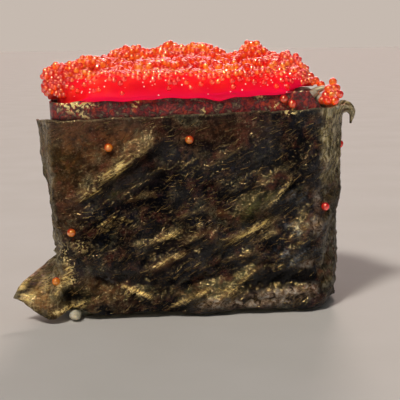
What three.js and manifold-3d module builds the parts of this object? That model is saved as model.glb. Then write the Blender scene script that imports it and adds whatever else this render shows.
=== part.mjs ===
// Gunkan sushi: a block of pressed rice, a strip of nori wound round it, and a heap of flying fish roe on top.
// Millimetres, +Z up. The origin is the middle of the rice's flat foot, the long side lies along X, and the
// front, which shows the outer ply of the nori and its free end, faces -Y.
import * as THREE from "three";
import { mergeVertices } from "three/addons/utils/BufferGeometryUtils.js";
import Module from "manifold-3d";

// ---- Driving dimensions ----------------------------------------------------------------------------------

// Plan of the wrap at rim height, clockwise seen from above: each corner's place, and how far along both of
// its sides the rounding starts. The first is the front right corner, where the strip begins and passes again.
const PLAN_CORNERS = [
  { x: 23.2, y: -13.5, ease: 3.4 },
  { x: -21.8, y: -13.9, ease: 2.2 },
  { x: -22.5, y: -1.0, ease: 5.0 },
  { x: -20.9, y: 13.1, ease: 6.0 },
  { x: 22.4, y: 13.3, ease: 6.0 },
  { x: 29.4, y: -3.0, ease: 6.0 },
];
const RIM = 34; // height at which the plan has its full size
const TAPER_X = 0.065; // share by which the foot is shorter than the rim
const TAPER_Y = 0.06; // share by which the foot is narrower than the rim
const TAPER_PIVOT_X = 2; // the plan shrinks towards this X

const SHEET = 0.35; // thickness of the damp nori
const PLY_GAP = 0.32; // air between the inner and the outer ply
const PLY_STEP = SHEET + PLY_GAP;
const END_OVERLAP = 11; // the strip runs this far past the front left corner
const START_SLANT = 2.6; // how far the upper corner of the strip's start leans away from the right end

// The strip is wound as a helix that comes down as it goes round, so the inner ply stands above the outer.
const TOP_AT_START = 37.8; // front right corner, inner ply
const TOP_AFTER_FRONT = 36.5; // front left corner, inner ply
const TOP_AFTER_TURN = 34.8; // front right corner, outer ply
const TOP_AT_END = 33.3; // free end
const HEM_HEIGHT = 0.9; // the lower edge, above the table
const HEM_RISE_AT_START = 2.2; // more than that where the strip begins, hidden behind the outer ply
const HEM_RISE_LENGTH = 14;

const RICE_CLEARANCE = 0.5; // from the inner face of the nori to the rice
const RICE_TOP = 31;
const RICE_RISE = 6.2; // the rice rises towards the right end, where it shows beside the roe
const RICE_END_DROP = 2.2; // and falls again to the wall
const RICE_BELOW_HEAP = 1.3; // the bare end is this far below the roe that overhangs it
const FOOT_INSET = 3.2; // the foot is drawn in from the wall, in the shade of the hem
const GRAIN = { length: 5.2, width: 2.1, height: 1.6 };

const EGG_RADIUS = 0.72;
const EGG_PITCH = 1.76;
const ROE_GAP = 0.4; // from the roe down to the rice and to the rim of the nori
const MOUND = { x: -0.3, y: -0.6, halfLength: 23.8, halfDepth: 13.6, roundness: 3.1 };
const SHOULDER_RADIUS = 2.6;
const MOUND_TOP = 42.0;
const MOUND_RISE_TO_BACK = 0.09; // the top slopes up to the back by this share of the depth
const MOUND_LEFT_DROP = 1.2;
const MOUND_RIGHT_DROP = 3.0;
const TUCK = 0.2; // how far the heap's side is drawn in at its lower edge
const TUCK_LEFT = 1.3; // the same at the left end
const BARE_END_UNDERCUT = 3.4; // how far the heap overhangs the bare rice

// Lumps of roe on top of the heap: place, spread and height.
const LUMPS = [
  { x: -22.4, y: -5.0, spread: 1.9, height: 1.0 },
  { x: -19.2, y: -6.0, spread: 2.4, height: 1.0 },
  { x: -14.8, y: -4.0, spread: 2.8, height: 1.2 },
  { x: -9.6, y: 5.8, spread: 3.0, height: 1.9 },
  { x: -2.4, y: 7.6, spread: 3.4, height: 1.6 },
  { x: 4.6, y: 7.6, spread: 3.2, height: 2.3 },
  { x: 12.8, y: 1.8, spread: 2.8, height: 3.0 },
  { x: 18.6, y: -2.0, spread: 2.8, height: 2.1 },
  { x: 15.6, y: 6.0, spread: 2.6, height: 0.9 },
  { x: 1.0, y: -4.0, spread: 4.2, height: 0.8 },
  { x: 13.6, y: -7.2, spread: 2.6, height: 0.7 },
  { x: -6.0, y: -6.2, spread: 2.8, height: 0.5 },
];

// Folds pressed into the wrap's front by the rice, each a ridge (or, if negative, a furrow) along a line.
const FOLDS = [
  { from: [-17.5, 22.0], to: [-5.6, 30.0], height: 0.75, width: 1.5 },
  { from: [-19.0, 19.0], to: [-2.0, 27.0], height: -0.6, width: 2.0 },
  { from: [4.5, 12.8], to: [15.6, 23.0], height: 1.0, width: 1.5 },
  { from: [7.5, 10.0], to: [18.5, 18.5], height: -0.7, width: 1.8 },
  { from: [-12.0, 10.0], to: [2.0, 15.0], height: 0.5, width: 1.4 },
  { from: [2.0, 5.8], to: [18.0, 10.5], height: -0.6, width: 1.8 },
  { from: [-15.5, 5.6], to: [19.0, 5.2], height: -0.6, width: 1.3 },
  { from: [-14.0, 3.2], to: [18.5, 2.8], height: 0.75, width: 1.3 },
  { from: [-20.5, 11.0], to: [-15.5, 5.6], height: -0.5, width: 1.3 },
  { from: [-22.0, 1.5], to: [-22.0, 6.5], height: -0.9, width: 1.3 },
];

// ---- Small helpers ---------------------------------------------------------------------------------------

const clamp = (x, low, high) => Math.min(high, Math.max(low, x));
const mix = (a, b, t) => a + (b - a) * t;
const smooth = (low, high, x) => {
  const t = clamp((x - low) / (high - low), 0, 1);
  return t * t * (3 - 2 * t);
};
const bump = (x, width) => Math.exp(-((x / width) ** 2));

// A seeded source of random numbers from 0 to 1.
function seededRandom(seed) {
  let state = seed;
  return () => {
    state = (state + 0x6d2b79f5) | 0;
    let t = Math.imul(state ^ (state >>> 15), 1 | state);
    t = (t + Math.imul(t ^ (t >>> 7), 61 | t)) ^ t;
    return ((t ^ (t >>> 14)) >>> 0) / 4294967296;
  };
}

const wasm = await Module();
wasm.setup();

function solidFromGeometry(geometry) {
  const bare = geometry.clone();
  bare.deleteAttribute("normal");
  bare.deleteAttribute("uv");
  const merged = mergeVertices(bare, 1e-4);
  return new wasm.Manifold(
    new wasm.Mesh({
      numProp: 3,
      vertProperties: new Float32Array(merged.attributes.position.array),
      triVerts: new Uint32Array(merged.index.array),
    }),
  );
}

function geometryFromTriangles(points, triangles) {
  const geometry = new THREE.BufferGeometry();
  geometry.setAttribute("position", new THREE.Float32BufferAttribute(points.flatMap((p) => p.toArray()), 3));
  geometry.setIndex(triangles.flat());
  return geometry;
}

function geometryFromSolid(solid) {
  const mesh = solid.getMesh();
  const geometry = new THREE.BufferGeometry();
  geometry.setAttribute("position", new THREE.BufferAttribute(mesh.vertProperties, 3));
  geometry.setIndex(new THREE.BufferAttribute(mesh.triVerts, 1));
  geometry.computeVertexNormals();
  return geometry;
}

function namedMesh(name, solid, material) {
  const mesh = new THREE.Mesh(geometryFromSolid(solid), material);
  mesh.name = name;
  return mesh;
}

// ---- The wrap's plan and surface -------------------------------------------------------------------------

// The closed plan as evenly spaced points, from the middle of the first corner's rounding.
function planPath() {
  const corners = PLAN_CORNERS.map((c) => ({ at: new THREE.Vector2(c.x, c.y), ease: c.ease }));
  const towards = (from, to, distance) => from.clone().add(to.clone().sub(from).setLength(distance));
  const path = new THREE.Path();
  corners.forEach((corner, i) => {
    const before = corners[(i + corners.length - 1) % corners.length];
    const after = corners[(i + 1) % corners.length];
    const start = towards(corner.at, before.at, corner.ease);
    const end = towards(corner.at, after.at, corner.ease);
    if (i === 0) path.moveTo(start.x, start.y);
    else path.lineTo(start.x, start.y);
    path.quadraticCurveTo(corner.at.x, corner.at.y, end.x, end.y);
  });
  path.closePath();
  return path;
}

const PLAN_SAMPLES = 720;
const planPoints = planPath().getSpacedPoints(PLAN_SAMPLES).slice(0, PLAN_SAMPLES);
const planLength = planPoints.reduce(
  (sum, p, i) => sum + p.distanceTo(planPoints[(i + 1) % PLAN_SAMPLES]),
  0,
);
const firstEase = PLAN_CORNERS[0].ease;

// Point and outward normal of the plan at distance s along it, s = 0 being the front right corner.
function planAt(s) {
  const turns = (s + firstEase * 0.9) / planLength;
  const f = (turns - Math.floor(turns)) * PLAN_SAMPLES;
  const i = Math.floor(f) % PLAN_SAMPLES;
  const j = (i + 1) % PLAN_SAMPLES;
  const point = planPoints[i].clone().lerp(planPoints[j], f - Math.floor(f));
  const before = planPoints[(i + PLAN_SAMPLES - 3) % PLAN_SAMPLES];
  const after = planPoints[(i + 4) % PLAN_SAMPLES];
  const along = after.clone().sub(before).normalize();
  return { point, normal: new THREE.Vector2(-along.y, along.x) };
}

const FRONT_LEFT_S = PLAN_CORNERS[0].x - PLAN_CORNERS[1].x - PLAN_CORNERS[1].ease;
const STRIP_LENGTH = planLength + FRONT_LEFT_S + END_OVERLAP;

function distanceToSegment(x, z, [ax, az], [bx, bz]) {
  const length2 = (bx - ax) ** 2 + (bz - az) ** 2;
  const t = clamp(((x - ax) * (bx - ax) + (z - az) * (bz - az)) / length2, 0, 1);
  return Math.hypot(x - mix(ax, bx, t), z - mix(az, bz, t));
}

// How far the wrap stands out from its plain tapered form, the same for both plies.
function relief(s, z) {
  const around = (2 * Math.PI * s) / planLength;
  const calm = 1 - 0.75 * smooth(24, 34, z);
  const waves =
    0.3 * Math.sin(8 * around + 0.54 * z + 0.4) +
    0.2 * Math.sin(13 * around + 0.42 * z + 2.1) +
    0.22 * Math.sin(5 * around - 0.3 * z + 4.0);
  const { point, normal } = planAt(s);
  let folds = 0;
  if (normal.y < -0.7) {
    for (const fold of FOLDS) {
      folds += fold.height * bump(distanceToSegment(point.x, z, fold.from, fold.to), fold.width);
    }
    folds *= smooth(0.7, 0.95, -normal.y);
  }
  return waves * calm + folds;
}

// A point at height z on the plain tapered wrap, moved outwards by a distance.
function wallPoint(s, z, outwards) {
  const { point, normal } = planAt(s);
  const below = 1 - z / RIM;
  const x = mix(point.x, TAPER_PIVOT_X, TAPER_X * below);
  const y = point.y * (1 - TAPER_Y * below);
  return new THREE.Vector3(x + normal.x * outwards, y + normal.y * outwards, z);
}

// ---- Nori ------------------------------------------------------------------------------------------------

const EAR = { s: -8.8, spread: 3.0, depth: 3.4, out: 2.1 }; // the rim turned out at the right end
const PEEL_TOP = 10.8; // the free end is peeled off the left side below this height
const FLAP_CREST = 2.4; // how far the peeled corner bulges forward
const FLAP_POCKET = { w: 1.2, spread: 1.1, depth: 1.1 }; // and how far it is pressed in beside the corner
const FLAP_TIP_LIFT = 4.2;
const HEM_LIFT = { s: 43, spread: 2.8, height: 1.35 }; // the hem over the grain of rice by the flap

const FRONT_STEP = 2.6; // distance between the sheet's columns on the front
const SIDE_STEP = 3.5; // and on the sides and the back
const CORNER_STEP = 1.4;

const pastCorner = (u) => Math.max(0, u - planLength - FRONT_LEFT_S);
const TOP_EDGE = [
  [0, TOP_AT_START],
  [FRONT_LEFT_S, TOP_AFTER_FRONT],
  [planLength, TOP_AFTER_TURN],
  [STRIP_LENGTH, TOP_AT_END],
];
function topEdge(u) {
  const k = TOP_EDGE.findIndex(([to]) => u <= to);
  const [[from, high], [to, low]] = TOP_EDGE.slice(Math.max(0, k - 1), Math.max(0, k - 1) + 2);
  return mix(high, low, clamp((u - from) / (to - from), 0, 1)) + 0.1 * Math.sin(0.55 * u) + 0.07 * Math.sin(1.3 * u);
}
const hemEdge = (u) =>
  HEM_HEIGHT +
  HEM_RISE_AT_START * Math.exp(-u / HEM_RISE_LENGTH) +
  HEM_LIFT.height * bump((u % planLength) - HEM_LIFT.s, HEM_LIFT.spread) +
  0.2 * Math.sin(0.33 * u + 2) -
  0.35 * smooth(1, 4, pastCorner(u));

// The strip's mid surface: u along it, z up.
function stripPoint(along, z) {
  const u = along + START_SLANT * smooth(34.2, 38.4, z) * clamp(1 - along / 8, 0, 1);
  const second = smooth(planLength - 22, planLength - 4, u);
  const outside = PLY_STEP * second + relief(u, z);
  const point = wallPoint(u, z, outside);
  const normal = planAt(u).normal;

  const ear = EAR.out * bump(u - planLength - EAR.s, EAR.spread) * smooth(EAR.depth, 0, topEdge(u) - z);
  point.x += normal.x * ear;
  point.y += normal.y * ear;
  point.z -= 0.35 * ear * smooth(1.2, 0, topEdge(u) - z);

  const w = pastCorner(u);
  const share = w / END_OVERLAP;
  const standOff = mix(0.2, 1.8, smooth(10, 34, z)) * share ** 1.4;
  point.x += normal.x * standOff;
  point.y += normal.y * standOff;
  const peel = clamp(1 - z / PEEL_TOP, 0, 1);
  if (w > 0 && peel > 0) {
    const root = wallPoint(planLength + FRONT_LEFT_S, z, outside);
    const crest = FLAP_CREST * Math.sin(Math.PI * Math.min(1, 1.12 * share)) + 0.5 * share;
    const pocket = FLAP_POCKET.depth * bump(w - FLAP_POCKET.w, FLAP_POCKET.spread);
    const peeled = new THREE.Vector3(root.x - 0.97 * w, root.y - crest + pocket, z);
    point.lerp(peeled, smooth(0, 0.75, peel) * smooth(0, 0.12, share) * mix(0.45, 1, peel));
    point.z += FLAP_TIP_LIFT * smooth(0.35, 1.1, share) * peel;
  }
  return point;
}

function stripNormal(u, z) {
  const d = 0.3;
  const along = stripPoint(u + d, z).sub(stripPoint(u - d, z));
  const up = stripPoint(u, z + d).sub(stripPoint(u, z - d));
  return new THREE.Vector3().crossVectors(up, along).normalize();
}

// Places of the columns from start up to end: a given step apart, and closer together round the corners.
function columnsOf(start, end, step) {
  const stepAt = (s) => {
    const turn = planAt(s - 1.5).normal.angleTo(planAt(s + 1.5).normal);
    return mix(step, CORNER_STEP, smooth(0.05, 0.4, turn));
  };
  const places = [];
  for (let s = start; s < end; s += stepAt(s)) places.push(s);
  const stretch = (end - start) / (places.at(-1) + stepAt(places.at(-1)) - start);
  return places.map((s) => start + (s - start) * stretch);
}
const frontColumns = columnsOf(0, FRONT_LEFT_S, FRONT_STEP);
const aroundColumns = columnsOf(FRONT_LEFT_S, planLength, SIDE_STEP);
const turnColumns = [...frontColumns, ...aroundColumns];

function noriSheet() {
  const columns = [
    ...turnColumns,
    ...frontColumns.map((s) => s + planLength),
    ...columnsOf(planLength + FRONT_LEFT_S, STRIP_LENGTH, 1.05),
    STRIP_LENGTH,
  ];
  const ROWS = 11;
  const points = [];
  const index = (side, i, j) => (side * columns.length + i) * (ROWS + 1) + j;
  for (const side of [1, -1]) {
    for (const u of columns) {
      for (let j = 0; j <= ROWS; j++) {
        const z = mix(hemEdge(u), topEdge(u), j / ROWS);
        points.push(stripPoint(u, z).addScaledVector(stripNormal(u, z), (side * SHEET) / 2));
      }
    }
  }
  const triangles = [];
  const quad = (a, b, c, d) => triangles.push([a, b, c], [a, c, d]);
  const last = columns.length - 1;
  for (let i = 0; i < last; i++) {
    for (let j = 0; j < ROWS; j++) {
      quad(index(0, i, j), index(0, i, j + 1), index(0, i + 1, j + 1), index(0, i + 1, j));
      quad(index(1, i, j), index(1, i + 1, j), index(1, i + 1, j + 1), index(1, i, j + 1));
    }
    quad(index(0, i, 0), index(0, i + 1, 0), index(1, i + 1, 0), index(1, i, 0));
    quad(index(0, i, ROWS), index(1, i, ROWS), index(1, i + 1, ROWS), index(0, i + 1, ROWS));
  }
  for (let j = 0; j < ROWS; j++) {
    quad(index(0, 0, j), index(1, 0, j), index(1, 0, j + 1), index(0, 0, j + 1));
    quad(index(0, last, j), index(0, last, j + 1), index(1, last, j + 1), index(1, last, j));
  }
  return solidFromGeometry(geometryFromTriangles(points, triangles));
}

// Single eggs stuck to the nori, by their place along the strip and their height.
const STRAY_EGGS = [
  { u: planLength + 22.4, z: 30.1 },
  { u: planLength + 35.7, z: 29.0 },
  { u: planLength + 41.2, z: 15.1 },
  { u: planLength + FRONT_LEFT_S + 2.3, z: 7.0 },
  { u: planLength - 1.2, z: 18.0 },
  { u: planLength - 12.0, z: 27.9 },
  { u: 6.4, z: 36.5 },
  { u: 5.0, z: 35.7 },
];
const EGG_SUNK = 0.3; // how deep a stray egg sits in the nori

function egg(centre, radius) {
  return solidFromGeometry(new THREE.OctahedronGeometry(radius, 1)).translate(centre.toArray());
}

function nori() {
  const eggs = STRAY_EGGS.map(({ u, z }) => {
    const out = SHEET / 2 + EGG_RADIUS - EGG_SUNK;
    return egg(stripPoint(u, z).addScaledVector(stripNormal(u, z), out), EGG_RADIUS);
  });
  return wasm.Manifold.union([noriSheet(), ...eggs]);
}

// ---- Rice ------------------------------------------------------------------------------------------------

const riceTopAt = (x) => RICE_TOP + RICE_RISE * smooth(3, 22, x) - RICE_END_DROP * smooth(22.5, 26, x);

// The wrap's relief at its lowest near a place, which is what the rice under it keeps to.
function lowestRelief(s, z) {
  const reliefs = [-2.2, 0, 2.2].flatMap((ds) => [-2.6, 0, 2.6].map((dz) => relief(s + ds, z + dz)));
  return Math.min(...reliefs);
}

function riceCore() {
  const wallInset = SHEET / 2 + RICE_CLEARANCE;
  const foot = [
    { z: 0, inset: FOOT_INSET },
    { z: 0.7, inset: 2.5 },
    { z: 2.6, inset: 1.7 },
  ];
  const wall = [5.2, 10, 15, 20, 25];
  const shoulder = [
    { below: 2.6, inset: wallInset + 0.8 },
    { below: 1.1, inset: wallInset + 1.6 },
    { below: 0, inset: wallInset + 3.6 },
    { below: 0, inset: wallInset + 8 },
  ];
  const ringCount = 50;
  const places = Array.from({ length: ringCount }, (_, i) => (i * planLength) / ringCount);
  const rings = [
    ...foot.map(({ z, inset }) => places.map((s) => wallPoint(s, z, -inset))),
    ...wall.map((z) => places.map((s) => wallPoint(s, z, lowestRelief(s, z) - wallInset))),
    ...shoulder.map(({ below, inset }) =>
      places.map((s) => {
        const p = wallPoint(s, RICE_TOP, -inset);
        return p.setZ(riceTopAt(p.x) - below);
      }),
    ),
  ];
  const count = ringCount;
  const points = rings.flat();
  const triangles = [];
  for (let k = 0; k + 1 < rings.length; k++) {
    for (let i = 0; i < count; i++) {
      const a = k * count + i;
      const b = k * count + ((i + 1) % count);
      triangles.push([a, a + count, b + count], [a, b + count, b]);
    }
  }
  const sole = points.push(new THREE.Vector3(0, 0, 0)) - 1;
  const crown = points.push(new THREE.Vector3(0, 0, RICE_TOP)) - 1;
  const topRing = (rings.length - 1) * count;
  for (let i = 0; i < count; i++) {
    const next = (i + 1) % count;
    triangles.push([i, next, sole], [topRing + next, topRing + i, crown]);
  }
  return solidFromGeometry(geometryFromTriangles(points, triangles));
}

function grain(centre, heading, tilt = 0, size = 1) {
  const shape = new THREE.OctahedronGeometry(1, 1);
  shape.scale((GRAIN.length / 2) * size, (GRAIN.width / 2) * size, (GRAIN.height / 2) * size);
  shape.applyMatrix4(new THREE.Matrix4().makeRotationFromEuler(new THREE.Euler(0, tilt, heading, "ZYX")));
  return solidFromGeometry(shape).translate(centre.toArray());
}

// Grains that show: round the foot under the hem, by the flap, and on the bare end beside the roe.
const FOOT_GRAIN_PITCH = 12;
const FOOT_GRAIN_INSET = 2.2;
const FLAP_GRAIN = { at: [-18.9, -12.6, 0.72], heading: 1.5, size: 1.04 };
const BARE_END_GRAINS = [
  { x: 23.0, y: -6.5, up: 0.35, heading: -0.45, tilt: 0.05, size: 0.88 },
  { x: 24.4, y: -2.4, up: 0.1, heading: 1.3, tilt: 0.1, size: 0.95 },
  { x: 24.6, y: 1.8, up: -0.1, heading: 1.9, tilt: -0.1, size: 1 },
  { x: 22.4, y: 6.4, up: -0.2, heading: 2.4, tilt: 0.1, size: 1 },
];

function rice() {
  const random = seededRandom(7);
  const grains = [];
  const count = Math.round(planLength / FOOT_GRAIN_PITCH);
  for (let i = 0; i < count; i++) {
    const s = ((i + 0.3 * random()) * planLength) / count;
    const { normal } = planAt(s);
    const along = Math.atan2(-normal.x, normal.y);
    const centre = wallPoint(s, 1.05 + 0.15 * random(), -FOOT_GRAIN_INSET - 0.3 * random());
    grains.push(grain(centre, along + 0.5 * (random() - 0.5), 0.16 * (random() - 0.5)));
  }
  grains.push(grain(new THREE.Vector3(...FLAP_GRAIN.at), FLAP_GRAIN.heading, 0, FLAP_GRAIN.size));
  for (const { x, y, up, heading, tilt, size } of BARE_END_GRAINS) {
    grains.push(grain(new THREE.Vector3(x, y, riceTopAt(x) + up), heading, tilt, size));
  }
  return wasm.Manifold.union([riceCore(), ...grains]).trimByPlane([0, 0, 1], 0);
}

// ---- Roe -------------------------------------------------------------------------------------------------

// Plan radius of the heap in a direction from its middle.
function moundRadius(angle) {
  const n = MOUND.roundness;
  const along = Math.abs(Math.cos(angle)) / MOUND.halfLength;
  const across = Math.abs(Math.sin(angle)) / MOUND.halfDepth;
  return (along ** n + across ** n) ** (-1 / n);
}

function moundTopAt(x, y) {
  const lumps = LUMPS.reduce((sum, l) => sum + l.height * bump(Math.hypot(x - l.x, y - l.y), l.spread), 0);
  return (
    MOUND_TOP +
    MOUND_RISE_TO_BACK * clamp(y + 3, -8, 9) -
    MOUND_LEFT_DROP * smooth(-12, -24, x) -
    MOUND_RIGHT_DROP * smooth(19.5, 24.5, x) +
    lumps
  );
}

// The inner wall of the wrap and its rim's height, in a direction from the heap's middle.
const wallByAngle = Array.from({ length: 360 }, (_, i) => {
  const s = (i / 360) * planLength;
  const p = wallPoint(s, TOP_AFTER_TURN, 0);
  return { s, angle: Math.atan2(p.y - MOUND.y, p.x - MOUND.x), radius: Math.hypot(p.x - MOUND.x, p.y - MOUND.y) };
});
function wallTowards(angle) {
  const turnTo = (a) => Math.abs(Math.atan2(Math.sin(a - angle), Math.cos(a - angle)));
  return wallByAngle.reduce((best, w) => (turnTo(w.angle) < turnTo(best.angle) ? w : best));
}

// Heights and inner edge of the ledge on which the heap overhangs the rim, or lies on the bare rice.
function ledgeTowards(angle) {
  const radius = moundRadius(angle);
  const wall = wallTowards(angle);
  const onRim = smooth(-2.6, -1.2, radius - wall.radius);
  const rimHeight = topEdge(wall.s) + ROE_GAP;
  const riceHeight = riceTopAt(MOUND.x + radius * Math.cos(angle)) + RICE_BELOW_HEAP;
  const height = Math.max(mix(riceHeight, rimHeight, onRim), riceHeight);
  const tuck = mix(TUCK, TUCK_LEFT, Math.max(0, -Math.cos(angle)) ** 2);
  const undercut = mix(BARE_END_UNDERCUT, tuck + 0.4, onRim);
  return { height, tuck, inner: Math.min(wall.radius - SHEET / 2 - 1.0, radius - undercut) };
}

// Position on the heap's skin: from its middle, a distance t along the skin in a direction.
function skinTowards(angle) {
  const radius = moundRadius(angle);
  const rimTop = moundTopAt(MOUND.x + radius * Math.cos(angle), MOUND.y + radius * Math.sin(angle));
  const ledge = ledgeTowards(angle);
  const drop = rimTop - ledge.height;
  const corner = Math.min(SHOULDER_RADIUS, 0.8 * drop);
  const flat = radius - corner;
  const arc = (Math.PI / 2) * corner;
  const reach = flat + arc + (drop - corner);
  const at = (t) => {
    let r = t;
    let down = 0;
    if (t > flat + arc) {
      down = corner + (t - flat - arc);
      r = radius - ledge.tuck * ((t - flat - arc) / (drop - corner)) ** 2;
    } else if (t > flat) {
      const turn = (t - flat) / corner;
      r = flat + corner * Math.sin(turn);
      down = corner * (1 - Math.cos(turn));
    }
    const x = MOUND.x + r * Math.cos(angle);
    const y = MOUND.y + r * Math.sin(angle);
    return new THREE.Vector3(x, y, (t > flat + arc ? rimTop : moundTopAt(x, y)) - down);
  };
  return { reach, at, ledge };
}
const skinPoint = (dx, dy) => skinTowards(Math.atan2(dy, dx)).at(Math.hypot(dx, dy));
function skinNormal(dx, dy) {
  const d = 0.25;
  const alongX = skinPoint(dx + d, dy).sub(skinPoint(dx - d, dy));
  const alongY = skinPoint(dx, dy + d).sub(skinPoint(dx, dy - d));
  return new THREE.Vector3().crossVectors(alongX, alongY).normalize();
}

// The heap's skin is a lattice in which every third point is the top of an egg and the rest lie between eggs.
const LATTICE = EGG_PITCH / Math.sqrt(3);
const BUMP_UP = 0.34;
const BUMP_DOWN = 0.22;

function roeHeap() {
  const random = seededRandom(21);
  const points = [];
  const places = [];
  const indexOf = new Map();
  const half = Math.ceil((MOUND.halfLength + 8) / LATTICE) * 2;
  for (let j = -half; j <= half; j++) {
    for (let i = -2 * half; i <= 2 * half; i++) {
      const dx = (i + j / 2) * LATTICE + 0.2 * (random() - 0.5);
      const dy = ((j * Math.sqrt(3)) / 2) * LATTICE + 0.2 * (random() - 0.5);
      const angle = Math.atan2(dy, dx);
      const away = Math.hypot(dx, dy);
      if (away > MOUND.halfLength + 9 || away > skinTowards(angle).reach - 0.3) continue;
      const peak = (((i - j) % 3) + 3) % 3 === 0;
      const lift = peak ? BUMP_UP * (0.5 + random()) : -BUMP_DOWN * (0.6 + 0.8 * random());
      indexOf.set(`${i},${j}`, points.length);
      places.push({ angle, peak, dx, dy });
      points.push(skinPoint(dx, dy).addScaledVector(skinNormal(dx, dy), lift));
    }
  }
  const triangles = [];
  const corner = (i, j) => indexOf.get(`${i},${j}`);
  for (const key of indexOf.keys()) {
    const [i, j] = key.split(",").map(Number);
    const here = corner(i, j);
    const right = corner(i + 1, j);
    const up = corner(i, j + 1);
    const upLeft = corner(i - 1, j + 1);
    if (right !== undefined && up !== undefined) triangles.push([here, right, up]);
    if (up !== undefined && upLeft !== undefined) triangles.push([here, up, upLeft]);
  }
  const next = new Map();
  for (const [a, b, c] of triangles) {
    for (const [from, to] of [[a, b], [b, c], [c, a]]) next.set(`${from},${to}`, [from, to]);
  }
  const follow = new Map();
  for (const [from, to] of next.values()) {
    if (!next.has(`${to},${from}`)) follow.set(from, to);
  }
  const loop = [];
  for (let at = follow.keys().next().value; !loop.includes(at); at = follow.get(at)) loop.push(at);

  // The skin's edge goes down to the ledge, in under the overhang, and down to the rice.
  const edge = loop.map((k) => ({ k, angle: places[k].angle, skin: skinTowards(places[k].angle) }));
  for (const { k, skin } of edge) points[k] = skin.at(skin.reach);
  const inner = edge.map(({ angle, skin }) => {
    const x = MOUND.x + skin.ledge.inner * Math.cos(angle);
    const y = MOUND.y + skin.ledge.inner * Math.sin(angle);
    return points.push(new THREE.Vector3(x, y, skin.ledge.height)) - 1;
  });
  const base = inner.map((k) => {
    const p = points[k].clone();
    return points.push(p.setZ(riceTopAt(p.x) + ROE_GAP)) - 1;
  });
  const middle = points.push(new THREE.Vector3(0, 0, RICE_TOP + ROE_GAP)) - 1;
  loop.forEach((k, i) => {
    const m = (i + 1) % loop.length;
    triangles.push([loop[m], k, inner[i]], [loop[m], inner[i], inner[m]]);
    triangles.push([inner[m], inner[i], base[i]], [inner[m], base[i], base[m]]);
    triangles.push([base[m], base[i], middle]);
  });
  const heap = solidFromGeometry(geometryFromTriangles(points, triangles));
  const peaks = places.map((p, k) => ({ ...p, k })).filter((p) => p.peak && !loop.includes(p.k));
  return { heap, peaks };
}

// Whole eggs that stand out of the heap, spread over the lumps, and the clump at the bare end.
const CREST_EGGS = 10;
const CLUMP_PITCH = 1.14;
const CLUMPS = [
  { x: 26.4, y: -5.8, z: 36.9, size: 1.45 },
  { x: 24.8, y: -9.6, z: 35.9, size: 1.15 },
];
const TRAILS = [
  { from: [22.9, -4.6, 39.2], to: [25.6, -5.4, 38.3], count: 4 },
  { from: [24.9, -8.8, 36.3], to: [26.1, -6.9, 36.9], count: 3 },
];

// Loose balls of eggs on the rim at the right end, joined to the heap and to each other by short trails.
function clumpPlaces() {
  const places = [];
  for (const { x, y, z, size } of CLUMPS) {
    for (let k = 0; k < 3; k++) {
      for (let j = -2; j <= 2; j++) {
        for (let i = -2; i <= 2; i++) {
          const away = new THREE.Vector3(i + (j + k) / 2, 0.87 * j, 0.84 * k).multiplyScalar(CLUMP_PITCH);
          if (Math.hypot(away.x, away.y) + 0.45 * away.z < size) places.push(away.add(new THREE.Vector3(x, y, z)));
        }
      }
    }
  }
  for (const { from, to, count } of TRAILS) {
    for (let i = 0; i < count; i++) {
      places.push(new THREE.Vector3(...from).lerp(new THREE.Vector3(...to), i / (count - 1)));
    }
  }
  return places;
}

function roe() {
  const { heap, peaks } = roeHeap();
  const random = seededRandom(5);
  const lumpy = peaks
    .map((p) => ({ p, rank: points(p) + 0.8 * random() }))
    .sort((a, b) => b.rank - a.rank)
    .slice(0, CREST_EGGS * 3)
    .filter((_, i) => i % 3 === 0);
  function points(p) {
    return LUMPS.reduce((sum, l) => {
      const at = skinPoint(p.dx, p.dy);
      return sum + bump(Math.hypot(at.x - l.x, at.y - l.y), l.spread);
    }, 0);
  }
  const crest = lumpy.map(({ p }) =>
    egg(skinPoint(p.dx, p.dy).addScaledVector(skinNormal(p.dx, p.dy), 0.3), EGG_RADIUS),
  );
  const clump = clumpPlaces().map((at) => egg(at, EGG_RADIUS));
  return wasm.Manifold.union([heap, ...crest, ...clump]);
}

// ---- The part --------------------------------------------------------------------------------------------

const noriMaterial = new THREE.MeshStandardMaterial({ color: 0x2b261d, roughness: 0.42, metalness: 0 });
const riceMaterial = new THREE.MeshStandardMaterial({ color: 0xd9d3b8, roughness: 0.45, metalness: 0 });
const roeMaterial = new THREE.MeshStandardMaterial({ color: 0xe83420, roughness: 0.22, metalness: 0 });

const gunkan = new THREE.Group();
gunkan.add(namedMesh("rice", rice(), riceMaterial));
gunkan.add(namedMesh("nori", nori(), noriMaterial));
gunkan.add(namedMesh("roe", roe(), roeMaterial));

export default gunkan;
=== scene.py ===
"""Gunkan sushi: a block of pressed rice in a wound strip of nori, with a heap of flying fish roe on top.

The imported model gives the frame: metres, +Z up, the long side along X, the front towards -Y, and the origin
in the middle of the rice's foot. The form is worked out in millimetres, which new_piece and grow turn into
metres.
"""
import math
from functools import partial
from itertools import product

import bpy
import numpy as np
from bpy.props import FloatProperty, FloatVectorProperty, IntProperty, PointerProperty
from mathutils import Matrix, Vector, noise


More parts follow.
